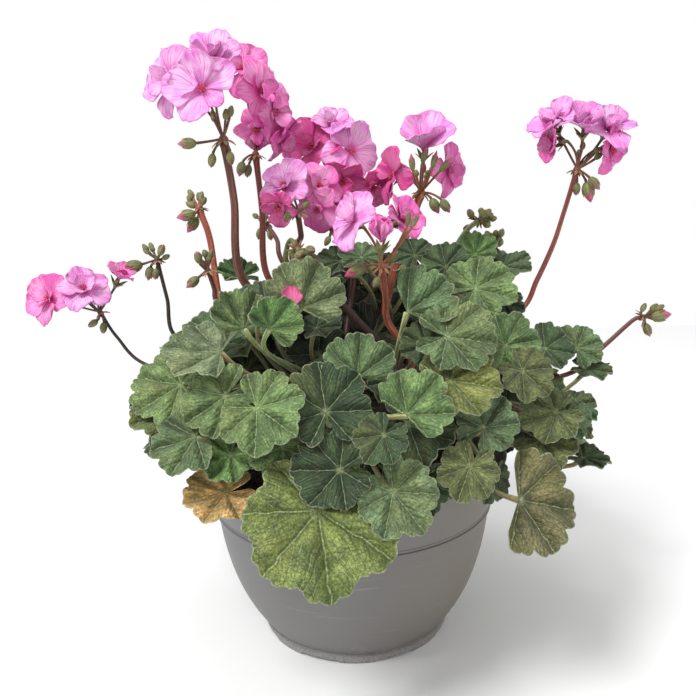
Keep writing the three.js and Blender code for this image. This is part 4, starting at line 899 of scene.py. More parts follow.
    def has_room(self, leaf, clear):
        """Whether a leaf keeps clear of the soil, the pot, the other leaves and every stem and stalk."""
        low, ring = leaf.spots[:, 2].min(), np.hypot(leaf.spots[:, 0], leaf.spots[:, 1]).max()
        near_rim = low < RIM_HEIGHT + POT_CLEAR and ring > RIM_RADIUS - INNER_RIM_CLEAR
        if near_rim or low < SOIL_CROWN + POT_CLEAR:
            return False
        arms = self.thicket.places - leaf.hub
        beside = np.hypot(arms @ leaf.midrib, arms @ leaf.side) < leaf.size + 3
        if (np.abs(arms @ leaf.normal)[beside] < clear).any():
            return False
        for other in self.leaves + self.inner_leaves:
            if np.linalg.norm(other.hub - leaf.hub) > 1.1 * (other.size + leaf.size):
                continue
            for upper, lower in ((leaf, other), (other, leaf)):
                low, high = heights_over(upper, lower)
                if low < INNER_GAP and high > -INNER_GAP:
                    return False
        return True


@lru_cache(maxsize=1)
def plant():
    return Plant()


# ---- Meshes ---------------------------------------------------------


def new_mesh():
    """A bmesh whose corners carry a place for patterns to follow, and a colour."""
    bm = bmesh.new()
    bm.verts.layers.float_vector.new("where")
    bm.verts.layers.float_color.new("tint")
    return bm


def as_rows(*parts):
    """Columns of numbers side by side, one row for each corner of a sheet."""
    return np.stack(np.broadcast_arrays(*parts), axis=1)


def tint_of(colour, alpha=1.0):
    """A colour and its alpha, for the corners of a sheet or tube."""
    return np.array((*colour, alpha))


def painted_shade_along(tint, start, run):
    """A tint that darkens along a tube from a share of its length on, as painted shade where it goes down
    into the plant.
    """
    return lambda _, v: np.multiply.outer(1 - 0.75 * np.clip((v - start) / run, 0, 1), tint)


def lay_sheet(bm, columns, rows, lay, tint, material=FACE):
    """Adds a grid and lays it where lay(u, v) says, with what it says the pattern follows; shared places
    are merged. Returns its faces."""
    corners = bmesh.ops.create_grid(bm, x_segments=columns, y_segments=rows, size=0.5)["verts"]
    flat = np.array([corner.co for corner in corners]) + 0.5
    places, marks = lay(flat[:, 0], flat[:, 1])
    tints = tint(flat[:, 0], flat[:, 1]) if callable(tint) else np.tile(tint, (len(corners), 1))
    where, colour = bm.verts.layers.float_vector["where"], bm.verts.layers.float_color["tint"]
    for corner, place, mark, shade in zip(corners, places * MM, marks, tints):
        corner.co = place
        corner[where] = mark
        corner[colour] = shade
    bmesh.ops.remove_doubles(bm, verts=corners, dist=1e-7)
    faces = list({face for corner in corners if corner.is_valid for face in corner.link_faces})
    for face in faces:
        face.smooth = True
        face.material_index = material
    return faces


def thicken(bm, faces, outward, thickness, under_material):
    """Turns a sheet's faces the right way up and gives it an underside with a material of its own."""
    for face in faces:
        face.normal_update()
    if sum((face.normal for face in faces), Vector()).dot(Vector(outward)) < 0:
        bmesh.ops.reverse_faces(bm, faces=faces)
    where = bm.verts.layers.float_vector["where"]
    above = {tuple(corner[where]): corner.co.copy() for face in faces for corner in face.verts}
    for item in bmesh.ops.solidify(bm, geom=faces, thickness=thickness)["geom"]:
        if isinstance(item, bmesh.types.BMFace):
            item.material_index = under_material
        elif isinstance(item, bmesh.types.BMVert):
            start = above[tuple(item[where])]
            step = item.co - start
            item.co = start + step * min(1, 1.6 * thickness / max(step.length, 1e-9))


def frames_along(places):
    """Directions along a run of places, and two axes square to each that don't twist."""
    alongs = np.gradient(places, axis=0)
    alongs /= np.linalg.norm(alongs, axis=1)[:, None]
    across = np.array((0.3, 1.0, 0.1))
    crosses = []
    for along in alongs:
        across = unit(across - along * (across @ along))
        crosses.append(across)
    crosses = np.array(crosses)
    return alongs, crosses, np.cross(alongs, crosses)


def lay_tube(bm, places, radii, sides, tint, material=FACE):
    """Adds a closed tube through places, rounded off at both ends."""
    count = len(places)
    alongs, crosses, besides = frames_along(places)
    runs = np.concatenate([[0], np.cumsum(np.linalg.norm(np.diff(places, axis=0), axis=1))])

    def lay(u, v):
        row = np.rint(v * (count + 1)).astype(int) - 1
        k = np.clip(row, 0, count - 1)
        radius = np.where((row < 0) | (row >= count), 0, radii[k])
        push = np.where(row < 0, -0.4 * radii[0], np.where(row >= count, 0.4 * radii[-1], 0))
        angle = 2 * np.pi * u
        ring = crosses[k] * (radius * np.cos(angle))[:, None] + besides[k] * (radius * np.sin(angle))[:, None]
        marks = as_rows(np.cos(angle), np.sin(angle), runs[k] / 10)
        return places[k] + ring + alongs[k] * push[:, None], marks

    faces = lay_sheet(bm, sides, count + 1, lay, tint, material)
    bmesh.ops.recalc_face_normals(bm, faces=faces)
    return faces


def add_object(name, data):
    """Puts an object with this data into the scene."""
    made = bpy.data.objects.new(name, data)
    bpy.context.scene.collection.objects.link(made)
    return made


def add_mesh(name, bm, materials=()):
    """Puts the bmesh into the scene as an object, and frees it."""
    mesh = bpy.data.meshes.new(name)
    bm.to_mesh(mesh)
    bm.free()
    for material in materials:
        mesh.materials.append(material)
    return add_object(name, mesh)


def finish_piece(name, bm, materials, nodes=()):
    """Makes the bmesh a piece of the scene that rides with the plant and stands for the nodes."""
    piece = add_mesh(name, bm, materials)
    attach(piece, "root")
    if nodes:
        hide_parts(*nodes)
    return piece


# ---- Materials ------------------------------------------------------


class Value:
    """A socket of a material's nodes; arithmetic on it adds Math nodes."""

    def __init__(self, paint, socket):
        self.paint, self.socket = paint, socket

    def __add__(self, other):
        return self.paint.math("ADD", self, other)

    def __sub__(self, other):
        return self.paint.math("SUBTRACT", self, other)

    def __rsub__(self, other):
        return self.paint.math("SUBTRACT", other, self)

    def __mul__(self, other):
        return self.paint.math("MULTIPLY", self, other)

    def __truediv__(self, other):
        return self.paint.math("DIVIDE", self, other)

    def __pow__(self, other):
        return self.paint.math("POWER", self, other)

    def __abs__(self):
        return self.paint.math("ABSOLUTE", self)

    __radd__, __rmul__ = __add__, __mul__


class Paint:
    """One material, whose nodes are added here."""

    def __init__(self, name):
        self.material = bpy.data.materials.new(name)
        self.material.use_nodes = True
        self.tree = self.material.node_tree
        self.shader = self.tree.nodes["Principled BSDF"]

    def feed(self, socket, value):
        if isinstance(value, Value):
            self.tree.links.new(value.socket, socket)
        else:
            socket.default_value = value

    def node(self, kind, settings, inputs, outputs=(0,)):
        """Adds a node with its settings first, then its inputs, and gives the outputs asked for."""
        made = self.tree.nodes.new(kind)
        for name, value in settings.items():
            setattr(made, name, value)
        for name, value in inputs.items():
            self.feed(made.inputs[name], value)
        values = [Value(self, made.outputs[name]) for name in outputs]
        return values[0] if len(values) == 1 else values

    def math(self, operation, *terms):
        return self.node("ShaderNodeMath", {"operation": operation}, dict(enumerate(terms)))

    def smooth(self, value, low, high):
        """Goes from 0 at low to 1 at high without corners."""
        limits = {"Value": value, "From Min": low, "From Max": high}
        return self.node("ShaderNodeMapRange", {"interpolation_type": "SMOOTHSTEP"}, limits)

    def fall(self, value, low, high):
        """Goes from 1 at low to 0 at high without corners."""
        return 1 - self.smooth(value, low, high)

    def most(self, *terms):
        """The greatest of several values."""
        return reduce(lambda greatest, term: self.math("MAXIMUM", greatest, term), terms)

    def mix(self, share, first, second, blend="MIX"):
        """Goes from the first colour to the second by a share."""
        first, second = (colour if isinstance(colour, Value) else (*colour, 1) for colour in (first, second))
        settings = {"data_type": "RGBA", "blend_type": blend}
        return self.node("ShaderNodeMix", settings, {0: share, 6: first, 7: second}, (2,))

    def times(self, first, second):
        """One colour multiplied by another."""
        return self.mix(1.0, first, second, "MULTIPLY")

    def attribute(self, name, outputs):
        return self.node("ShaderNodeAttribute", {"attribute_name": name}, {}, outputs)

    def parts(self, vector):
        return self.node("ShaderNodeSeparateXYZ", {}, {0: vector}, (0, 1, 2))

    def object_place(self):
        return self.node("ShaderNodeTexCoord", {}, {}, ("Object",))

    def scaled(self, vector, scale):
        return self.node("ShaderNodeMapping", {"vector_type": "POINT"}, {"Vector": vector, "Scale": scale})

    def noise(self, vector, scale, detail=2.0, roughness=0.5):
        inputs = {"Vector": vector, "Scale": scale, "Detail": detail, "Roughness": roughness}
        return self.node("ShaderNodeTexNoise", {}, inputs)

    def cells(self, vector, scale, feature="DISTANCE_TO_EDGE"):
        return self.node("ShaderNodeTexVoronoi", {"feature": feature}, {"Vector": vector, "Scale": scale})

    def bump(self, height, strength, distance):
        return self.node("ShaderNodeBump", {}, {"Height": height, "Strength": strength, "Distance": distance})

    def surface(self, colour, roughness, normal=None, **fixed):
        """Feeds the shader: the colour, roughness and bump may vary, and the rest is the same all over."""
        self.feed(self.shader.inputs["Base Color"], colour)
        self.feed(self.shader.inputs["Roughness"], roughness)
        if normal is not None:
            self.feed(self.shader.inputs["Normal"], normal)
        for name, value in fixed.items():
            self.shader.inputs[name.replace("_", " ")].default_value = value
        return self.material


def vein_masks(paint, place):
    """How far out each spot lies, and how near it is to a main vein and to a forked one, from 0 to 1."""
    along, across, _ = paint.parts(place)
    bend = (paint.noise(place, 3.5) - 0.5) * 0.12
    angle = paint.math("ARCTAN2", across, along) + bend
    out = (along * along + across * across) ** 0.5
    lobes = angle / LOBE
    off = (lobes - paint.math("ROUND", lobes)) * LOBE
    beside = out * abs(paint.math("SINE", off))
    ahead = out * paint.math("COSINE", off)
    fork = abs(beside - (ahead - 0.2) * 0.5)
    for root, slope in ((0.4, 0.62), (0.62, 0.75)):
        fork = paint.math("MINIMUM", fork, abs(beside - (ahead - root) * slope))
    return out, beside, fork


def leaf_material(name, sizes, underside):
    """For blades: mottled greens with a dark band, pale veins, painted shade in the valleys beside them and a
    pale edge.
    """
    paint = Paint(name)
    place = paint.attribute("where", ("Vector",))
    tint, zone = paint.attribute("tint", ("Color", "Alpha"))
    _, _, share = paint.parts(place)
    out, beside, fork = vein_masks(paint, place)
    spot = paint.object_place()
    mottle = paint.noise(spot, 62, 5, 0.65)
    patch = paint.smooth(paint.noise(spot, 26, 3), 0.5, 0.7)
    grain = paint.noise(spot, 640, 3, 0.7)
    net = paint.fall(paint.cells(place, 15), 0.0, 0.1)
    core = paint.fall(beside, 0.004, 0.013)
    vein_valley_shade = paint.fall(beside, 0.008, 0.06)
    valley = paint.fall(beside, 0.0, 0.15)
    forked = paint.smooth(out, 0.25, 0.4)
    side_core = paint.fall(fork, 0.002, 0.009) * forked
    side = paint.fall(fork, 0.004, 0.045) * forked
    dark = paint.times(tint, srgb(138, 152, 126))
    light = paint.times(tint, (1.45, 1.4, 1.35))
    pale = paint.mix(0.6, tint, sizes.vein_colour)
    colour = paint.mix(paint.smooth(mottle, 0.36, 0.64), light, dark)
    colour = paint.mix(0.3, colour, tint)
    colour = paint.mix(paint.smooth(out, 0.55, 1.0) * 0.3, colour, dark)
    colour = paint.mix(patch * 0.26, colour, sizes.olive_colour)
    band = paint.smooth(out, 0.36, 0.46) * paint.fall(out, 0.54, 0.68) * zone
    colour = paint.mix(band * 0.3, colour, sizes.zone_colour)
    if underside:
        colour = paint.mix(0.35, colour, sizes.back_colour)
        colour = paint.mix(paint.most(core, side_core * 0.6) * 0.7, colour, pale)
        height = core + side * 0.5 + net * 0.1
    else:
        star = paint.fall(out, 0.03, 0.14)
        # Painted shade darkens the valleys beside the main veins and the forked ones.
        colour = paint.mix(paint.most(vein_valley_shade * 0.78, side * 0.3), colour, dark)
        colour = paint.mix(paint.most(core * 0.58, side_core * 0.34, star * 0.5), colour, pale)
        height = 2 - valley * 1.9 - side * 0.3 - net * 0.25
    speckle = paint.mix(paint.smooth(grain, 0.3, 0.7), (0.76, 0.79, 0.76), (1.9, 1.87, 1.8))
    edge = paint.smooth(share, 0.972, 0.996)
    colour = paint.mix(edge * 0.55, paint.times(colour, speckle), sizes.rim_colour)
    normal = paint.bump(height + grain * 0.35, 1.0, 0.002)
    return paint.surface(colour, 0.45 + grain * 0.3, normal, Sheen_Weight=0.06, Sheen_Roughness=0.5)


def petal_material(name, sizes, underside):
    """For petals: clouds of paler pink, partly their own tone and partly painted highlight, streaks of deeper
    pink, partly their own and partly painted shade, veins, a dark throat and a deeper edge.
    """
    paint = Paint(name)
    tint, paleness = paint.attribute("tint", ("Color", "Alpha"))
    place = paint.attribute("where", ("Vector",))
    along, across, _ = paint.parts(place)
    spot = paint.object_place()
    wobble = paint.noise(spot, 90, 2) * 0.12
    coarse = abs(paint.math("FRACT", across * 3 + wobble) - 0.5)
    fine = abs(paint.math("FRACT", across * 7 + wobble * 2) - 0.5)
    lines = paint.fall(coarse, 0.02, 0.12) * paint.fall(along, 0.4, 0.8)
    hair = paint.fall(fine, 0.04, 0.22) * paint.smooth(along, 0.2, 0.45) * paint.fall(along, 0.75, 1.0)
    veins = lines * 0.8 + hair * 0.22
    pale = paint.mix(0.46, tint, srgb(255, 230, 250))
    deep = paint.times(tint, srgb(232, 166, 214))
    cloud = paint.noise(spot, 75, 3)
    streak = paint.noise(paint.scaled(place, (0.9, 5, 1)), 1.7, 3)
    bell = paint.smooth(along, 0.12, 0.42) * (1 - paint.smooth(along, 0.68, 1.0) * 0.7)
    # The paler clouds are partly the petal's own tone and partly painted highlight.
    colour = paint.mix(bell * paint.smooth(cloud, 0.34, 0.62) * paleness, tint, pale)
    # The deeper streaks are partly the petal's own colour and partly painted shade.
    colour = paint.mix(paint.smooth(streak, 0.5, 0.68) * 0.75, colour, deep)
    edge = paint.smooth(paint.most(abs(across), along), 0.93, 1.0)
    colour = paint.mix(edge * 0.3, colour, sizes.vein_colour)
    eye = paint.fall(along, 0.04, 0.3)
    if underside:
        colour = paint.mix(veins * 0.4, colour, sizes.vein_colour)
        colour = paint.mix(eye * 0.5, colour, srgb(196, 120, 140))
    else:
        colour = paint.mix(veins * 0.65, colour, sizes.vein_colour)
        colour = paint.mix(eye * 0.6, colour, sizes.eye_colour)
    normal = paint.bump(1 - veins + streak * 0.5 + paint.noise(spot, 700, 2) * 0.2, 0.4, 0.0006)
    return paint.surface(colour, 0.5, normal, Sheen_Weight=0.1, Sheen_Roughness=0.4)


def stalk_material(name, roughness):
    """For stems, petioles and flower stalks: streaks that run along them, freckles and fine hairs."""
    paint = Paint(name)
    tint = paint.attribute("tint", ("Color",))
    place = paint.attribute("where", ("Vector",))
    spot = paint.object_place()
    streak = paint.noise(paint.scaled(place, (1.6, 1.6, 0.12)), 1.5, 3)
    freckle = paint.noise(spot, 420, 2)
    dark = paint.times(tint, srgb(190, 172, 168))
    light = paint.times(tint, (1.35, 1.3, 1.25))
    colour = paint.mix(paint.smooth(streak, 0.38, 0.62), light, dark)
    colour = paint.mix(paint.smooth(freckle, 0.45, 0.7) * 0.6, colour, dark)
    normal = paint.bump(streak + freckle * 0.6, 0.4, 0.0006)
    return paint.surface(colour, roughness + freckle * 0.15, normal, Sheen_Weight=0.1)


def bud_material(name, sizes):
    """For sepals, bracts and buds: a green skin with a darker ridge, reddish where it thins at the edge."""
    paint = Paint(name)
    tint = paint.attribute("tint", ("Color",))
    along, across, _ = paint.parts(paint.attribute("where", ("Vector",)))
    spot = paint.object_place()
    ridge = paint.fall(abs(across), 0.06, 0.3)
    edge = paint.most(paint.smooth(abs(across), 0.6, 0.95), paint.smooth(along, 0.75, 1.0))
    mottle = paint.noise(spot, 260, 3)
    colour = paint.mix(ridge * 0.4, tint, sizes.ridge_colour)
    colour = paint.mix(edge * 0.5, colour, sizes.edge_colour)
    colour = paint.mix(paint.smooth(mottle, 0.42, 0.68) * 0.35, colour, srgb(66, 58, 34))
    normal = paint.bump(ridge * 0.6 + mottle * 0.4, 0.4, 0.0005)
    return paint.surface(colour, 0.45 + mottle * 0.2, normal, Sheen_Weight=0.15)


def rolled_petal_material():
    """For petals that are still rolled up in their buds."""
    paint = Paint("rolled_petal")
    tint = paint.attribute("tint", ("Color",))
    grain = paint.noise(paint.object_place(), 320, 3)
    colour = paint.mix(grain, tint, paint.times(tint, srgb(190, 130, 160)))
    return paint.surface(colour, 0.5, paint.bump(grain, 0.2, 0.0003))


def stamen_material(sizes):
    """For filaments, anthers and styles."""
    paint = Paint("stamen_flesh")
    tint = paint.attribute("tint", ("Color",))
    grain = paint.noise(paint.object_place(), 1400, 2)
    colour = paint.mix(paint.smooth(grain, 0.4, 0.65) * 0.5, tint, sizes.eye_colour)
    return paint.surface(colour, 0.55, paint.bump(grain, 0.3, 0.0003))


def pot_material(sizes):
    """Clouded grey plastic with a painted warm reflection on the right, scratched level, splashed low down,
    worn and painted with a highlight at the foot.
    """
    paint = Paint("pot_plastic")
    spot = paint.object_place()
    x, _, z = paint.parts(spot)
    cloud = paint.noise(spot, 7, 4, 0.55)
    speck = paint.noise(spot, 850, 2, 0.6)
    scratch = paint.noise(paint.scaled(spot, (1, 1, 26)), 14, 3, 0.7)
    # Warm patches, and a painted warm reflection down the right side of the pot.
    warm_patches_and_reflection = paint.smooth(cloud, 0.35, 0.7) * 0.3 + paint.smooth(x, 0.0, 0.11) * 0.6
    colour = paint.mix(warm_patches_and_reflection, sizes.colour, sizes.warm_and_reflected_colour)
    colour = paint.mix(paint.smooth(scratch, 0.6, 0.72) * 0.22, colour, srgb(176, 172, 172))
    splash = paint.smooth(paint.noise(spot, 42, 5, 0.7), 0.56, 0.7) * paint.fall(z, 0.0, 0.05)
    colour = paint.mix(splash * 0.35, colour, srgb(150, 142, 130))
    # Lighter at the foot: partly wear, partly a painted highlight.
    scuff_and_highlight = paint.fall(z, 0.002, 0.011) * paint.smooth(speck, 0.35, 0.6)
    colour = paint.mix(scuff_and_highlight * 0.5, colour, srgb(180, 178, 176))
    roughness = 0.42 + cloud * 0.16 + speck * 0.08
    return paint.surface(colour, roughness, paint.bump(speck + scratch * 0.5, 0.16, 0.0004))


def soil_material(sizes):
    """Dark wet soil with brown crumbs and a few pale flecks."""
    paint = Paint("soil_mix")
    spot = paint.object_place()
    lump = paint.noise(spot, 130, 5, 0.65)
    fleck = paint.cells(spot, 260, "F1")
    colour = paint.mix(paint.smooth(lump, 0.35, 0.68), sizes.colour, sizes.crumb_colour)
    colour = paint.mix(paint.fall(fleck, 0.1, 0.3) * 0.35, colour, srgb(120, 96, 70))
    return paint.surface(colour, 0.9, paint.bump(lump + fleck * 0.4, 0.9, 0.003))


def floor_material(sizes):
    paint = Paint("studio_floor")
    grain = paint.noise(paint.object_place(), 3, 2)
    return paint.surface(paint.mix(grain * 0.08, sizes.floor_colour, (0.92, 0.92, 0.93)), 0.75)


# ---- Settings -------------------------------------------------------


def number_setting(name, description, default, **limits):
    return bpy.props.FloatProperty(name=name, description=description, default=default, min=0.0, **limits)


def length_setting(name, description, default):
    return number_setting(name, description, default, unit="LENGTH")


def colour_setting(name, description, red, green, blue):
    return bpy.props.FloatVectorProperty(
        name=name, description=description, default=tuple(srgb(red, green, blue)), subtype="COLOR",
        min=0.0, max=1.0,
    )


class PotSettings(bpy.types.PropertyGroup):
    """Sizes and colours of the pot."""

    rim_radius: length_setting("Rim Radius", "Outer radius at the top of the rim", RIM_RADIUS * MM)
    height: length_setting("Height", "Height of the rim above the ground", RIM_HEIGHT * MM)
    wall: length_setting("Wall", "Thickness of the bowl's wall", POT_WALL * MM)
    drain_radius: length_setting("Drain Radius", "Radius of each drain hole", 0.0045)
    colour: colour_setting("Colour", "The grey of the plastic", 113, 113, 114)
    # This warm grey is both the patches' own colour and the painted reflection on the pot's right side.
    warm_and_reflected_colour: colour_setting("Warm Colour", "The warmer grey of its patches", 124, 114, 102)


class SoilSettings(bpy.types.PropertyGroup):
    """Sizes and colours of the soil."""

    lump: length_setting("Lump", "Height of the lumps of its surface", 0.003)
    crumb: length_setting("Crumb", "Radius of a middling crumb", 0.0018)
    crumbs: bpy.props.IntProperty(name="Crumbs", description="Number of loose crumbs", default=420, min=0)
    colour: colour_setting("Colour", "The dark of wet soil", 30, 24, 20)
    crumb_colour: colour_setting("Crumb Colour", "The brown of dry crumbs", 74, 56, 42)


class LeafSettings(bpy.types.PropertyGroup):
    """Sizes and colours of the leaves."""

    thickness: length_setting("Thickness", "Thickness of a blade", 0.0007)
    tooth: number_setting("Tooth", "Depth of the teeth, as a share of size", 0.06, max=0.2, subtype="FACTOR")
    vein_colour: colour_setting("Vein Colour", "The pale green of the veins", 176, 190, 138)
    rim_colour: colour_setting("Rim Colour", "The pale line along the edge", 192, 200, 160)
    back_colour: colour_setting("Back Colour", "The grey green of the underside", 150, 160, 128)
    zone_colour: colour_setting("Zone Colour", "The darker band inside the edge", 70, 76, 44)
    olive_colour: colour_setting("Olive Colour", "The yellower patches", 142, 136, 72)


class FlowerSettings(bpy.types.PropertyGroup):
    """Sizes and colours of the florets."""

    thickness: length_setting("Petal Thickness", "Thickness of a petal", 0.0005)
    vein_colour: colour_setting("Vein Colour", "The magenta of the veins", 196, 62, 150)
    eye_colour: colour_setting("Eye Colour", "The darker throat of a petal", 190, 44, 110)


class BudSettings(bpy.types.PropertyGroup):
    """Colours of buds, sepals and bracts."""

    sepal_colour: colour_setting("Sepal Colour", "The olive green of the sepals", 122, 128, 74)
    ridge_colour: colour_setting("Ridge Colour", "The darker ridge of a sepal", 72, 78, 38)
    edge_colour: colour_setting("Edge Colour", "The reddish edge of a sepal", 138, 96, 72)
    tip_colour: colour_setting("Tip Colour", "The pink of petals still rolled up", 222, 110, 152)


class StageSettings(bpy.types.PropertyGroup):
    """The floor and the light."""

    floor_colour: colour_setting("Floor Colour", "The pale floor", 251, 251, 251)
    key_power: number_setting("Key Power", "Power of the main light", 49.0)
    fill_power: number_setting("Fill Power", "Power of the side light, and a quarter of the top light's", 1.5)
    world_strength: number_setting("World Strength", "Strength of the light from all round", 0.7)


# ---- Pot and soil ---------------------------------------------------


# Under the pot: the pads round its foot, with notches between them, and the drain holes.
PAD_COUNT, PAD_SHARE, NOTCH_HEIGHT, FOOT_RING = 8, 0.47, 2, 60
DRAIN_COUNT, DRAIN_RING = 4, 42


def curved(start, middle, end, count):
    """Places of a profile along a curve."""
    controls = (np.array(place) for place in (start, middle, end))
    return [tuple(place) for place in bezier(*controls)(np.linspace(0, 1, count))]


def bowl_profile(inset, count):
    """The bowl's curve from its foot to the band, moved in by the inset, in millimetres."""
    return curved((70 - inset, POT_FLOOR + inset), (96.8 - inset, 39.3), (102 - inset, 96.5), count)


def pot_profile(rim, top, wall):
    """The whole outline of the pot: out under its floor, round the foot, up the bowl, the double ridge and
    the band, over the rim and down inside."""
    band = (rim - 0.55, top - 1.8)
    return [
        (0, 6.4), (63, 6.4), *rounded((66.5, 0), (64.5, 6.4), (70, 0), 0.8), (69.2, 0),
        *rounded((70.4, 0.2), (69.2, 0), (71.6, 6.0), 0.5), (71.7, 5.9), (71.2, 6.7), (70.2, 7.0),
        *bowl_profile(0, 26),
        (102.2, 96.9), *rounded((103.7, 97.1), (102.2, 97.0), (103.7, 98.6), 0.5), (103.7, 98.5),
        *rounded((103.7, 99.0), (103.7, 98.0), (102.9, 99.4), 0.3), (102.9, 99.5), (102.9, 100.0),
        *rounded((103.8, 100.4), (102.9, 100.0), (104.0, 101.4), 0.4), (104.0, 101.6),
        (103.7, 102.0), (103.9, 102.6), (106.8, 112.3), (110.9, 124.5), band,
        *rounded((rim, top), band, (rim - 2.6, top), 1.2, 5),
        *rounded((rim - 2.8, top), (rim, top), (rim - 5, top - 8), 0.9, 4),
        *reversed(bowl_profile(wall, 20)), (0, POT_FLOOR + wall),
    ]


def spun(bm, profile, steps):
    """Spins a profile of radius and height, in millimetres, once round the upright axis."""
    corners = [bm.verts.new((radius * MM, 0, z * MM)) for radius, z in profile]
    edges = [bm.edges.new(pair) for pair in zip(corners, corners[1:])]
    turn = {"cent": (0, 0, 0), "axis": (0, 0, 1), "dvec": (0, 0, 0), "angle": 2 * math.pi}
    bmesh.ops.spin(bm, geom=corners + edges, steps=steps, use_merge=True, **turn)
    bmesh.ops.remove_doubles(bm, verts=bm.verts, dist=1e-6)
    bmesh.ops.recalc_face_normals(bm, faces=bm.faces)
    for face in bm.faces:
        face.smooth = True


def rounded(corner, before, after, radius, steps=3):
    """Places round a corner of a profile, from the way in to the way out."""
    corner, before, after = (np.array(place, float) for place in (corner, before, after))
    start, end = (corner + unit(place - corner) * radius for place in (before, after))
    return curved(start, corner, end, steps + 1)


class MakePot(bpy.types.Operator):
    """Make the grey bowl pot, with its banded rim, padded foot and drain holes"""

    bl_idname = "geranium.make_pot"
    bl_label = "Make Pot"

    def execute(self, context):
        sizes = context.scene.geranium_pot
        bm = new_mesh()
        spun(bm, pot_profile(sizes.rim_radius / MM, sizes.height / MM, sizes.wall / MM), POT_STEPS)
        for corner in bm.verts:
            radius = math.hypot(corner.co.x, corner.co.y) / MM
            turn = math.atan2(corner.co.y, corner.co.x) / (2 * math.pi) * PAD_COUNT % 1
            in_notch = radius > FOOT_RING and PAD_SHARE / 2 < turn < 1 - PAD_SHARE / 2
            if in_notch and corner.co.z < NOTCH_HEIGHT * MM:
                corner.co.z = NOTCH_HEIGHT * MM
        pot = finish_piece("pot_bowl", bm, [pot_material(sizes)], ["pot"])
        pot.data.set_sharp_from_angle(angle=math.radians(50))
        self.drill(pot, sizes.drain_radius)
        return {"FINISHED"}

    def drill(self, pot, radius):
        """Cuts the drain holes through the floor of the pot."""
        bm = bmesh.new()
        tool = {"cap_ends": True, "segments": 24, "radius1": radius, "radius2": radius, "depth": 0.02}
        for k in range(DRAIN_COUNT):
            angle = 2 * math.pi * (k + 0.5) / DRAIN_COUNT
            place = Vector((DRAIN_RING * math.cos(angle), DRAIN_RING * math.sin(angle), POT_FLOOR)) * MM
            bmesh.ops.create_cone(bm, matrix=Matrix.Translation(place), **tool)
        cutter = add_mesh("drain_holes", bm)
        cut = pot.modifiers.new("drain", "BOOLEAN")
        cut.operation, cut.object, cut.solver = "DIFFERENCE", cutter, "EXACT"
        graph = bpy.context.evaluated_depsgraph_get()
        drilled = bpy.data.meshes.new_from_object(pot.evaluated_get(graph))
        pot.modifiers.clear()
        pot.data = drilled
        bpy.data.objects.remove(cutter)


def soil_height(share):
    """The height of the heaped soil at a share of the way out to its edge, in millimetres."""
    return SOIL_CROWN - (SOIL_CROWN - SOIL_RIM) * share**2


class MakeSoil(bpy.types.Operator):
    """Make the dark soil, heaped in the middle and strewn with crumbs"""

    bl_idname = "geranium.make_soil"
    bl_label = "Make Soil"

    def execute(self, context):
        sizes = context.scene.geranium_soil
        inset = POT_WALL + SEAT
        rings = range(SOIL_RINGS - 1, -1, -1)
        top = [(SOIL_EDGE * k / SOIL_RINGS, soil_height(k / SOIL_RINGS)) for k in rings]
        bm = new_mesh()
        spun(bm, [(0, POT_FLOOR + inset), *bowl_profile(inset, 12), (SOIL_EDGE, SOIL_RIM), *top], SOIL_STEPS)
        for corner in bm.verts:
            ring = math.hypot(corner.co.x, corner.co.y) / MM
            if corner.co.z > (SOIL_RIM + 0.2) * MM and ring < SOIL_EDGE - 1:
                rough = noise.fractal(corner.co * 70, 0.9, 2.1, 4) + 0.6 * noise.noise(corner.co * 24)
                corner.co.z += sizes.lump * rough * 0.7
        draw = seeded_draw(CRUMB_SEED)
        for _ in range(sizes.crumbs):
            turn, ring = draw(0, 2 * math.pi), CRUMB_REACH * math.sqrt(draw(0, 1))
            size = sizes.crumb * draw(0.4, 1.6)
            place = Vector((ring * math.cos(turn) * MM, ring * math.sin(turn) * MM, 0))
            place.z = soil_height(ring / SOIL_EDGE) * MM + 0.3 * size
            crumb = bmesh.ops.create_icosphere(bm, subdivisions=1, radius=size)["verts"]
            for corner in crumb:
                corner.co = corner.co * draw(0.7, 1.25)
            bmesh.ops.scale(bm, vec=(draw(0.7, 1.4), draw(0.7, 1.4), draw(0.5, 0.9)), verts=crumb)
            bmesh.ops.translate(bm, vec=place, verts=crumb)
        finish_piece("soil_heap", bm, [soil_material(sizes)], ["soil"])
        return {"FINISHED"}


# ---- Leaves ---------------------------------------------------------


# How far out the rings of corners lie on a blade.
RING_SHARES = (0.0, 0.1, 0.22, 0.36, 0.5, 0.64, 0.77, 0.88, 0.96, 1.0)


def lobed_rim(leaf, angle, tooth):
    """The fine outline: rounded lobes with notches between them, and round teeth."""
    lobes = np.abs(np.cos(np.pi * angle / LOBE)) ** 0.55
    teeth = np.abs(np.cos(leaf.teeth * np.pi * angle / LOBE + 0.5 * np.sin(2 * angle + leaf.phase))) ** 0.6
    wander = 0.028 * np.sin(1.7 * angle + 2 * leaf.phase) + 0.02 * np.sin(5.3 * angle + leaf.phase)
    shoulder = np.clip((np.abs(angle) - (leaf.end - 0.34)) / 0.34, 0, 1)
    rim = leaf_oval(angle) * (1.03 - 0.17 * (1 - lobes) - tooth * (1 - teeth) + wander)
    return rim * (1 - 0.26 * shoulder**2.2)


def fine_rise(leaf, angle, out, share):
    """The blade's rise with its veins in narrow valleys and a waved, slightly turned edge."""
    pleat = (0.085 + 0.04 * leaf.youth) * out * (2 * np.abs(np.sin(np.pi * angle / LOBE)) ** 0.7 - 1)
    domed = 0.008 * out**5 * np.cos(2 * np.pi * leaf.teeth * angle / LOBE)
    frill = 0.022 * out**3 * np.sin(7 * angle + 3 * leaf.phase)
    frill = frill + 0.012 * out**4 * np.sin(17 * angle + leaf.phase)
    turned = (0.03 + 0.03 * np.sin(2 * angle + leaf.phase)) * share**6
    return leaf.bend(angle, out, leaf.cup + leaf.youth * 0.22) + pleat + domed + frill - turned


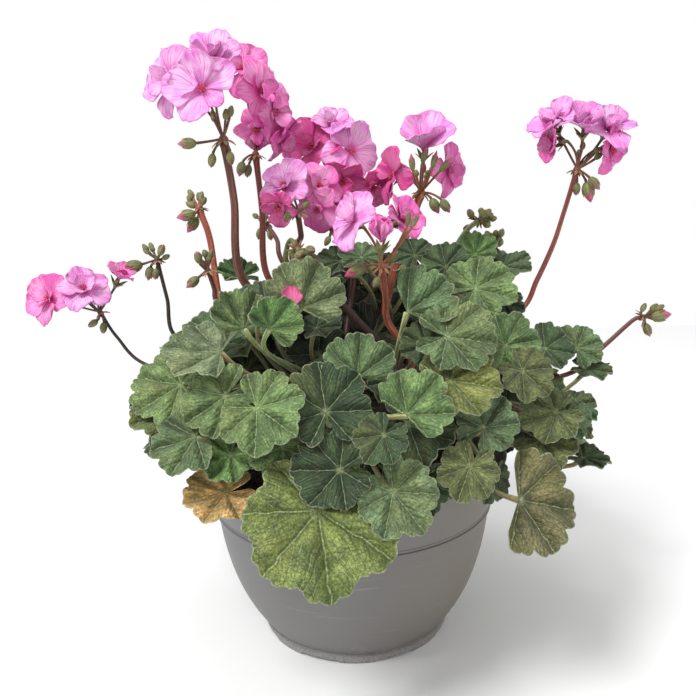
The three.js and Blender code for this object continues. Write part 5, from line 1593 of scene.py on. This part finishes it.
def lay_leaf(bm, leaf, sizes, draw):
    """Adds a blade with its underside, and the petiole that holds it."""
    marks_of_rings = np.linspace(0, 1, len(RING_SHARES))
    half = leaf.normal * (0.5 * sizes.thickness / MM)

    def lay(u, v):
        angle = (2 * u - 1) * leaf.end
        share = np.interp(v, marks_of_rings, RING_SHARES)
        out = share * lobed_rim(leaf, angle, sizes.tooth)
        places = leaf.place(angle, out, fine_rise(leaf, angle, out, share)) + half
        return places, as_rows(out * np.cos(angle), out * np.sin(angle), share)

    shade = srgb(*LEAF_LOOKS[leaf.look]) * draw(0.88, 1.12)
    shade = shade * np.array((draw(0.93, 1.07), 1, draw(0.9, 1.1)))
    tint = tint_of(shade, draw(0.2, 1.0))
    faces = lay_sheet(bm, BLADE_COLUMNS_PER_TOOTH * leaf.teeth, len(RING_SHARES) - 1, lay, tint)
    thicken(bm, faces, leaf.normal, sizes.thickness, BACK)
    shares = np.linspace(0, 1, PETIOLE_STATIONS)
    places = leaf.petiole(shares)
    places[0] = leaf.hub - leaf.normal * PETIOLE_SEAT
    radii = PETIOLE_RADIUS * (1.05 + 0.45 * np.exp(-shares * 22) + 0.4 * shares**4)
    green, red = srgb(168, 182, 124), srgb(150, 118, 84)
    blush = draw(0.0, 0.6) * (1 - leaf.youth)
    # Painted shade: the petiole darkens towards the stem.
    tint = painted_shade_along(tint_of(green + (red - green) * blush), 0.2, 0.3)
    lay_tube(bm, places, radii, PETIOLE_SIDES, tint, STEM)


class MakeShoots(bpy.types.Operator):
    """Make the leafy shoots: woody stems, petioles and round lobed leaves"""

    bl_idname = "geranium.make_shoots"
    bl_label = "Make Shoots"

    def execute(self, context):
        sizes = context.scene.geranium_leaf
        materials = [
            leaf_material("leaf_face", sizes, False), leaf_material("leaf_back", sizes, True),
            stalk_material("green_stem", 0.5),
        ]
        draw = seeded_draw(SHOOT_SEED)
        shares = np.linspace(0, 1, STEM_STATIONS)
        knots = 1 + 0.14 * np.maximum(0, np.cos(2 * np.pi * shares * 7)) ** 4
        radii = STEM_RADIUS * (1.08 - 0.25 * shares) * knots
        for k, stem in enumerate(plant().stems):
            bm = new_mesh()
            # The stems' dark brown is partly their bark and partly painted shade.
            lay_tube(bm, stem.curve(shares), radii, STEM_SIDES, tint_of(srgb(86, 74, 54)), STEM)
            self.lay_leaves(bm, plant().leaves, k, sizes, draw)
            finish_piece(f"leafy_shoot_{k + 1}", bm, materials, [f"shoot_{k + 1}"])
        for k in sorted({leaf.home for leaf in plant().inner_leaves}):
            bm = new_mesh()
            self.lay_leaves(bm, plant().inner_leaves, k, sizes, draw)
            finish_piece(f"inner_leaves_{k + 1}", bm, materials)
        return {"FINISHED"}

    def lay_leaves(self, bm, leaves, home, sizes, draw):
        """Adds those of the leaves that belong to one shoot."""
        for leaf in leaves:
            if leaf.home == home:
                lay_leaf(bm, leaf, sizes, draw)


# ---- Flower stalks, heads and blooms --------------------------------


class MakeStalks(bpy.types.Operator):
    """Make the tall flower stalks"""

    bl_idname = "geranium.make_stalks"
    bl_label = "Make Flower Stalks"

    def execute(self, context):
        material = stalk_material("flower_stalk", 0.4)
        for umbel in plant().umbels:
            bm = new_mesh()
            shares = np.linspace(0, 1, STALK_STATIONS * (STALK_STEPS + len(umbel.via)))
            radii = umbel.thick * (1 + 0.22 * np.exp(-shares * 45) + 0.1 * shares - 0.05 * np.sin(shares * 9))
            radii = radii * SLIM_STALKS.get(umbel.name, 1)
            # Painted shade: the stalk darkens past the places that it passes, down into the plant.
            tint = painted_shade_along(tint_of(srgb(*STALK_LOOKS[umbel.look])), umbel.last_seen, 0.08)
            lay_tube(bm, umbel.curve(shares), radii, STEM_SIDES, tint)
            finish_piece(f"flower_stalk_{umbel.name}", bm, [material], [f"stalk_{umbel.name}"])
        return {"FINISHED"}


def swell(shares, skew=0.82, blunt=0.75):
    """How a bud or sepal widens and narrows again along its length."""
    return np.sin(np.pi * np.clip(shares, 0, 1) ** skew) ** blunt


def lay_sepal(bm, base, axis, outward, length, width, spread, curl, tint):
    """Adds one pointed sepal or bract that leaves its base along the axis and bends outward."""
    aside = unit(np.cross(axis, outward))

    def lay(u, v):
        across = 2 * u - 1
        half = width * (0.3 * (1 - v) + 0.75 * swell(v, 0.8, 0.8))
        lift = spread * v * length + curl * length * v * v - 0.35 * half * (across**2 - 0.4)
        places = step_out(base, (length * v, axis), (lift, outward), (half * across, aside))
        return places, as_rows(v, across, 0)

    faces = lay_sheet(bm, *SEPAL_GRID, lay, tint, SEPAL)
    thicken(bm, faces, outward, SEPAL_THICKNESS, SEPAL)


def ring_round(axis, count, turn=0.0):
    """Directions evenly round an axis."""
    first = unit(np.cross(axis, (0.31, 0.23, 0.92)))
    second = np.cross(axis, first)
    angles = (2 * math.pi * (k + turn) / count for k in range(count))
    return [first * math.cos(angle) + second * math.sin(angle) for angle in angles]


def lay_bud(bm, root, tip, fatness, sizes, draw):
    """Adds a bud: rolled petals inside five sepals that close over them, less so on a larger bud."""
    along = unit(tip - root)
    length = np.linalg.norm(tip - root)
    width = fatness * max(length, 7) / 2
    ripe = min(max((length - 8) / 6, 0), 1)
    shares = np.linspace(0, 1, BUD_STATIONS)
    core = step_out(root, (shares * length * 0.98, along))
    pink, green = np.array(sizes.tip_colour), srgb(140, 146, 88)
    shade = green + (pink - green) * (0.25 + 0.75 * ripe)
    lay_tube(bm, core, np.maximum(width * 0.86 * swell(shares), 0.15), BUD_SIDES, tint_of(shade), ROLLED)
    tint = tint_of(np.array(sizes.sepal_colour) * draw(0.8, 1.2))
    for outward in ring_round(along, 5, draw(0, 1)):
        aside = np.cross(along, outward)

        def lay(u, v):
            across, share = 2 * u - 1, v * (0.98 - 0.28 * ripe)
            radius = np.maximum(width * 0.93 * swell(share), 0.2) + 0.35 * v**3 + 0.1
            reach = math.radians(40) * np.clip(1.08 - v**2.4, 0.06, 1) * across
            round_it = step_out(0, (radius * np.cos(reach), outward), (radius * np.sin(reach), aside))
            return step_out(root, (share * length, along)) + round_it, as_rows(v, across, 0)

        faces = lay_sheet(bm, *BUD_SEPAL_GRID, lay, tint, SEPAL)
        thicken(bm, faces, outward, BUD_SKIN, SEPAL)


def lay_pedicel(bm, middle, radius, end, arriving, colour):
    """Adds the little stalk from the hub's knob to a bud or floret."""
    start = middle + unit(end - middle) * (0.4 * radius)
    reach = np.linalg.norm(end - start)
    bend = start + (end - start) * 0.6 - arriving * (0.3 * reach)
    shares = np.linspace(0, 1, PEDICEL_STATIONS)
    places = bezier(start, bend, end)(shares)
    lay_tube(bm, places, 0.8 + 0.25 * shares**6, PETIOLE_SIDES, tint_of(colour), PEDICEL)


def lay_knob(bm, umbel, radius, colour, draw):
    """Adds the hub's knob, with its ring of bracts."""
    knob = step_out(umbel.place, (np.linspace(SEAT, SEAT + 5, 7), umbel.rise))
    radii = radius * np.array((0.75, 0.95, 1.0, 0.95, 0.85, 0.6, 0.3))
    lay_tube(bm, knob, radii, KNOB_SIDES, tint_of(colour), PEDICEL)
    tint = tint_of(srgb(168, 128, 84))
    for outward in ring_round(umbel.rise, 7, draw(0, 1)):
        base = umbel.place + umbel.rise * (SEAT + 1.5) + outward * (0.75 * radius)
        way, bend = unit(outward - umbel.rise * 0.35), unit(outward * 0.4 + umbel.rise)
        lay_sepal(bm, base, way, bend, draw(4.2, 7.2), 1.3, 0.1, -0.35, tint)


def lay_calyx(bm, floret, neck, sizes, draw):
    """Adds the tube behind an open floret, with its five sepals."""
    tube = step_out(neck, (np.linspace(-0.5, 6.4, 6), floret.face))
    radii = np.array((1.0, 1.35, 1.6, 1.75, 1.7, 1.2))
    lay_tube(bm, tube, radii, CALYX_SIDES, tint_of(srgb(112, 104, 58)), SEPAL)
    tint = tint_of(np.array(sizes.sepal_colour) * draw(0.65, 1.0))
    for outward in ring_round(floret.face, 5, draw(0, 1)):
        base = neck + floret.face * 1.2 + outward * 1.1
        lay_sepal(bm, base, unit(floret.face + outward * 0.55), outward, 8.2, 1.9, 0.05, 0.18, tint)


def spare_buds(umbel, middle, draw):
    """Little buds at the back of a head, and all round a young one."""
    young = umbel.name in YOUNG_HEADS
    count = SPARES_BEHIND_FLORETS if umbel.florets else YOUNG_SPARES if young else SPARES
    buds = []
    for outward in ring_round(umbel.rise, 0 if umbel.name in BARE_UMBELS else count, draw(0, 1)):
        away = outward if young or outward @ FORWARD > 0 else -outward
        way = unit(umbel.rise + away * draw(0.25, 1.1))
        root = middle + way * (draw(9, 15) if umbel.florets else draw(4, 9))
        buds.append((root, root + unit(way + umbel.rise * 0.3) * draw(5, 8.5)))
    return buds


class MakeHeads(bpy.types.Operator):
    """Make the umbels' hubs, with their bracts, pedicels, calyxes and buds"""

    bl_idname = "geranium.make_heads"
    bl_label = "Make Heads"

    def execute(self, context):
        sizes = context.scene.geranium_bud
        skins = bud_material("sepal_skin", sizes), rolled_petal_material()
        materials = [stalk_material("pedicel", 0.45), *skins]
        draw = seeded_draw(HEAD_SEED)
        for umbel in plant().umbels:
            bm, radius = new_mesh(), 1.25 * umbel.thick
            middle = umbel.place + umbel.rise * (SEAT + 2.5)
            colour = srgb(*STALK_LOOKS[umbel.look]) * 0.6 + srgb(132, 110, 72) * 0.4
            lay_knob(bm, umbel, radius, colour, draw)
            for floret in umbel.florets:
                neck = floret.mouth - floret.face * CALYX_LENGTH
                lay_pedicel(bm, middle, radius, neck, floret.face, colour * draw(0.75, 1.1))
                lay_calyx(bm, floret, neck, sizes, draw)
            fatness = YOUNG_BUD_WIDTH if umbel.name in YOUNG_HEADS else BUD_WIDTH
            buds = [(*bud, fatness) for bud in umbel.buds + spare_buds(umbel, middle, draw)]
            for root, tip in SLIM_BUDS.get(umbel.name, ()):
                ends = at_depth(root, umbel.depth - 16), at_depth(tip, umbel.depth - 18)
                buds.append((*ends, SLIM_BUD_WIDTH))
            for root, tip, fatness in buds:
                lay_pedicel(bm, middle, radius, root, unit(tip - root), colour * draw(0.8, 1.15))
                lay_bud(bm, root, tip, fatness, sizes, draw)
            finish_piece(f"flower_head_{umbel.name}", bm, materials, [f"head_{umbel.name}"])
        return {"FINISHED"}


# Each petal's turn in degrees round its floret, half its width as a share of its length, and its length as a
# share of the floret's. The last is 1 for the lowest petal alone.
PETALS = ((59, 0.48, 0.97), (121, 0.48, 0.97), (193, 0.45, 0.95), (270, 0.49, 1.0), (347, 0.45, 0.95))
NARROW = 0.38


def lay_petal(bm, base, along, face, tilt, length, width, draw, tint, thickness):
    """Adds a broad petal on a narrow claw, raised by the tilt, cupped, ruffled and turned back at its end."""
    phase, droop, frill, roll = draw(0, 6.28), draw(0.0, 0.16), draw(0.025, 0.05), draw(-0.16, 0.2)
    notch = draw(0.0, 0.06)
    aside = np.cross(face, along)
    tilt = math.radians(tilt)
    out = along * math.cos(tilt) + face * math.sin(tilt)
    up = face * math.cos(tilt) - along * math.sin(tilt)

    def lay(u, v):
        across = 2 * u - 1
        rising = np.clip(v / 0.7, 0, 1)
        broad = 0.1 + 0.9 * rising * rising * (3 - 2 * rising)
        half = length * width * broad * (1 - 0.18 * np.clip((v - 0.72) / 0.28, 0, 1) ** 2)
        reach = length * (v - 0.3 * across**2 * v**2 - notch * np.exp(-((across / 0.2) ** 2)) * v**6)
        cupped = 0.16 * across**2 * v + 0.12 * v * (1 - v) - droop * v**3 + roll * across * v
        ruffle = frill * v**2 * np.sin(5 * across + phase)
        ruffle = ruffle + 0.6 * frill * v**3 * np.sin(12 * across + 2 * phase)
        rise = length * (cupped + ruffle) + 0.2
        return base + step_out(0, (reach, out), (half * across, aside), (rise, up)), as_rows(v, across, 0)

    faces = lay_sheet(bm, *PETAL_GRID, lay, tint)
    thicken(bm, faces, up, thickness, BACK)


def lay_stamens(bm, floret, draw):
    """Adds the filaments with their anthers, and the style that divides in five."""

    def lay_thread(start, lengths, way, radii, sides, colour):
        places = step_out(start, (lengths, way))
        lay_tube(bm, places, np.array(radii), sides, tint_of(srgb(*colour)), STAMEN)
        return places[-1]

    for outward in ring_round(floret.face, 7, draw(0, 1)):
        way = unit(floret.face + outward * draw(0.2, 0.5))
        base, lengths = floret.centre + outward * 0.5, np.linspace(0, 1, 4) * draw(3.2, 5.2)
        top = lay_thread(base, lengths, way, (0.3, 0.26, 0.22, 0.18), 5, (226, 120, 178))
        way, lengths = unit(outward + floret.face * 0.6), np.linspace(-0.7, 0.7, 5)
        lay_thread(top, lengths, way, (0.25, 0.5, 0.58, 0.5, 0.25), 6, (206, 92, 62))
    lengths = np.linspace(0, 4.2, 4)
    top = lay_thread(floret.centre, lengths, floret.face, (0.6, 0.5, 0.45, 0.5), 6, (196, 52, 104))
    for outward in ring_round(floret.face, 5, draw(0, 1)):
        way = unit(outward + floret.face * 0.5)
        lay_thread(top, np.linspace(0, 1.8, 3), way, (0.3, 0.25, 0.16), 5, (204, 54, 110))


def lay_floret(bm, floret, thickness, draw):
    """Adds a floret's five petals, the small narrow ones inside them, and its stamens."""
    shade = srgb(*PETAL_LOOKS[floret.look]) * draw(0.94, 1.04)
    centre, face, paleness = floret.centre, floret.face, PALENESS[floret.look]
    for turn, width, reach in PETALS:
        along = floret.outward(turn + floret.turn + draw(-7, 7))
        length = floret.petal * reach * draw(0.94, 1.04) * (floret.lowest if reach == 1 else 1)
        tint, tilt = tint_of(shade * draw(0.8, 1.08), paleness), floret.cup + draw(-9, 13)
        lay_petal(bm, centre, along, face, tilt, length, width, draw, tint, thickness)
    for k in range(floret.inner):
        along = floret.outward(k * 137 + draw(-30, 30))
        length = floret.petal * draw(0.5, 0.74)
        tint, tilt = tint_of(shade * draw(0.72, 1.0), paleness), floret.cup + draw(26, 52)
        lay_petal(bm, centre, along, face, tilt, length, NARROW, draw, tint, thickness)
    lay_stamens(bm, floret, draw)


class MakeBlooms(bpy.types.Operator):
    """Make the florets' petals and stamens, one bloom for each umbel"""

    bl_idname = "geranium.make_blooms"
    bl_label = "Make Blooms"

    def execute(self, context):
        sizes = context.scene.geranium_flower
        materials = [
            petal_material("petal_face", sizes, False), petal_material("petal_back", sizes, True),
            stamen_material(sizes),
        ]
        draw = seeded_draw(BLOOM_SEED)
        for umbel in plant().umbels:
            if not umbel.florets:
                continue
            bm = new_mesh()
            for floret in umbel.florets:
                lay_floret(bm, floret, sizes.thickness, draw)
            nodes = sorted(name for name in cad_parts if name.startswith(f"bloom_{umbel.name}_"))
            finish_piece(f"bloom_{umbel.name}", bm, materials, nodes)
        self.drop_petals(materials, sizes.thickness)
        return {"FINISHED"}

    def drop_petals(self, materials, thickness):
        """The few petals that lie on the leaves."""
        bm = new_mesh()
        draw = seeded_draw(FALLEN_SEED)
        for index, pixel, length, turn, colour in FALLEN_PETALS:
            leaf = plant().leaves[index]
            angle = math.radians(turn)
            along = leaf.midrib * math.cos(angle) + leaf.side * math.sin(angle)
            middle = on_plane(sight_line(pixel), leaf.hub, leaf.normal) + leaf.normal * 2.5
            tint = tint_of(srgb(*colour), FALLEN_PALENESS)
            start = middle - along * (0.5 * length)
            lay_petal(bm, start, along, leaf.normal, 6, length, NARROW, draw, tint, thickness)
        finish_piece("fallen_petals", bm, materials)


# ---- Stage, panel and run -------------------------------------------


# Where the lights aim, in metres.
LIGHT_AIM = Vector((0, 0, 0.2))


class MakeStage(bpy.types.Operator):
    """Make the pale floor, the soft studio light and the camera at the photograph's angle"""

    bl_idname = "geranium.make_stage"
    bl_label = "Make Stage"

    def execute(self, context):
        sizes = context.scene.geranium_stage
        bm = bmesh.new()
        bmesh.ops.create_grid(bm, x_segments=8, y_segments=8, size=1)
        floor = add_mesh("floor", bm, [floor_material(sizes)])
        self.light("key", (-1.0, -1.25, 2.2), 0.9, sizes.key_power)
        self.light("fill", (1.6, -1.2, 1.0), 1.4, sizes.fill_power)
        self.light("top", (-0.2, 0.4, 2.3), 1.2, sizes.fill_power * 4)
        world = bpy.data.worlds.new("studio")
        world.use_nodes = True
        tree = world.node_tree
        light, backdrop = tree.nodes["Background"], tree.nodes.new("ShaderNodeBackground")
        for node, strength in ((light, sizes.world_strength), (backdrop, 1)):
            node.inputs["Color"].default_value = (1, 1, 1, 1)
            node.inputs["Strength"].default_value = strength
        either, path = tree.nodes.new("ShaderNodeMixShader"), tree.nodes.new("ShaderNodeLightPath")
        tree.links.new(path.outputs["Is Camera Ray"], either.inputs[0])
        tree.links.new(light.outputs[0], either.inputs[1])
        tree.links.new(backdrop.outputs[0], either.inputs[2])
        tree.links.new(either.outputs[0], tree.nodes["World Output"].inputs["Surface"])
        context.scene.world = world
        context.scene.view_settings.view_transform = "Standard"
        self.camera(context)
        return {"FINISHED"}

    def light(self, name, place, size, power):
        """Adds a round light that is turned to the plant's middle."""
        lamp = bpy.data.lights.new(name, "AREA")
        lamp.shape, lamp.size, lamp.energy = "DISK", size, power
        stand = add_object(name, lamp)
        stand.location = place
        stand.rotation_euler = (LIGHT_AIM - Vector(place)).to_track_quat("-Z", "Y").to_euler()

    def camera(self, context):
        """Adds the camera at the photograph's viewpoint."""
        camera = bpy.data.cameras.new("camera")
        camera.sensor_width = SENSOR_WIDTH
        camera.lens = SENSOR_WIDTH * FOCAL / (2 * PICTURE_MIDDLE)
        camera.clip_start = 0.01
        eye = add_object("camera", camera)
        axes = Matrix((RIGHT, UP, -FORWARD)).transposed().to_4x4()
        eye.matrix_world = Matrix.Translation(EYE * MM) @ axes
        context.scene.camera = eye


class GeraniumPanel(bpy.types.Panel):
    """The sidebar's list of the geranium's pieces and settings"""

    bl_idname = "VIEW3D_PT_geranium"
    bl_label = "Geranium"
    bl_space_type = "VIEW_3D"
    bl_region_type = "UI"
    bl_category = "Geranium"

    def draw(self, context):
        for name, group in SETTINGS.items():
            settings = getattr(context.scene, name)
            box = self.layout.box()
            for setting in group.__annotations__:
                box.prop(settings, setting)
        for operator in OPERATORS:
            self.layout.operator(operator.bl_idname)


SETTINGS = {
    "geranium_pot": PotSettings, "geranium_soil": SoilSettings, "geranium_leaf": LeafSettings,
    "geranium_flower": FlowerSettings, "geranium_bud": BudSettings, "geranium_stage": StageSettings,
}
OPERATORS = (MakeStage, MakePot, MakeSoil, MakeShoots, MakeStalks, MakeHeads, MakeBlooms)
CLASSES = (*SETTINGS.values(), *OPERATORS, GeraniumPanel)


def register():
    for cls in CLASSES:
        bpy.utils.register_class(cls)
    for name, group in SETTINGS.items():
        setattr(bpy.types.Scene, name, bpy.props.PointerProperty(type=group))


def unregister():
    for name in SETTINGS:
        delattr(bpy.types.Scene, name)
    for cls in reversed(CLASSES):
        bpy.utils.unregister_class(cls)


def main():
    register()
    for operator in OPERATORS:
        family, name = operator.bl_idname.split(".")
        getattr(getattr(bpy.ops, family), name)()
    bpy.context.view_layer.update()


if __name__ == "__main__":
    main()
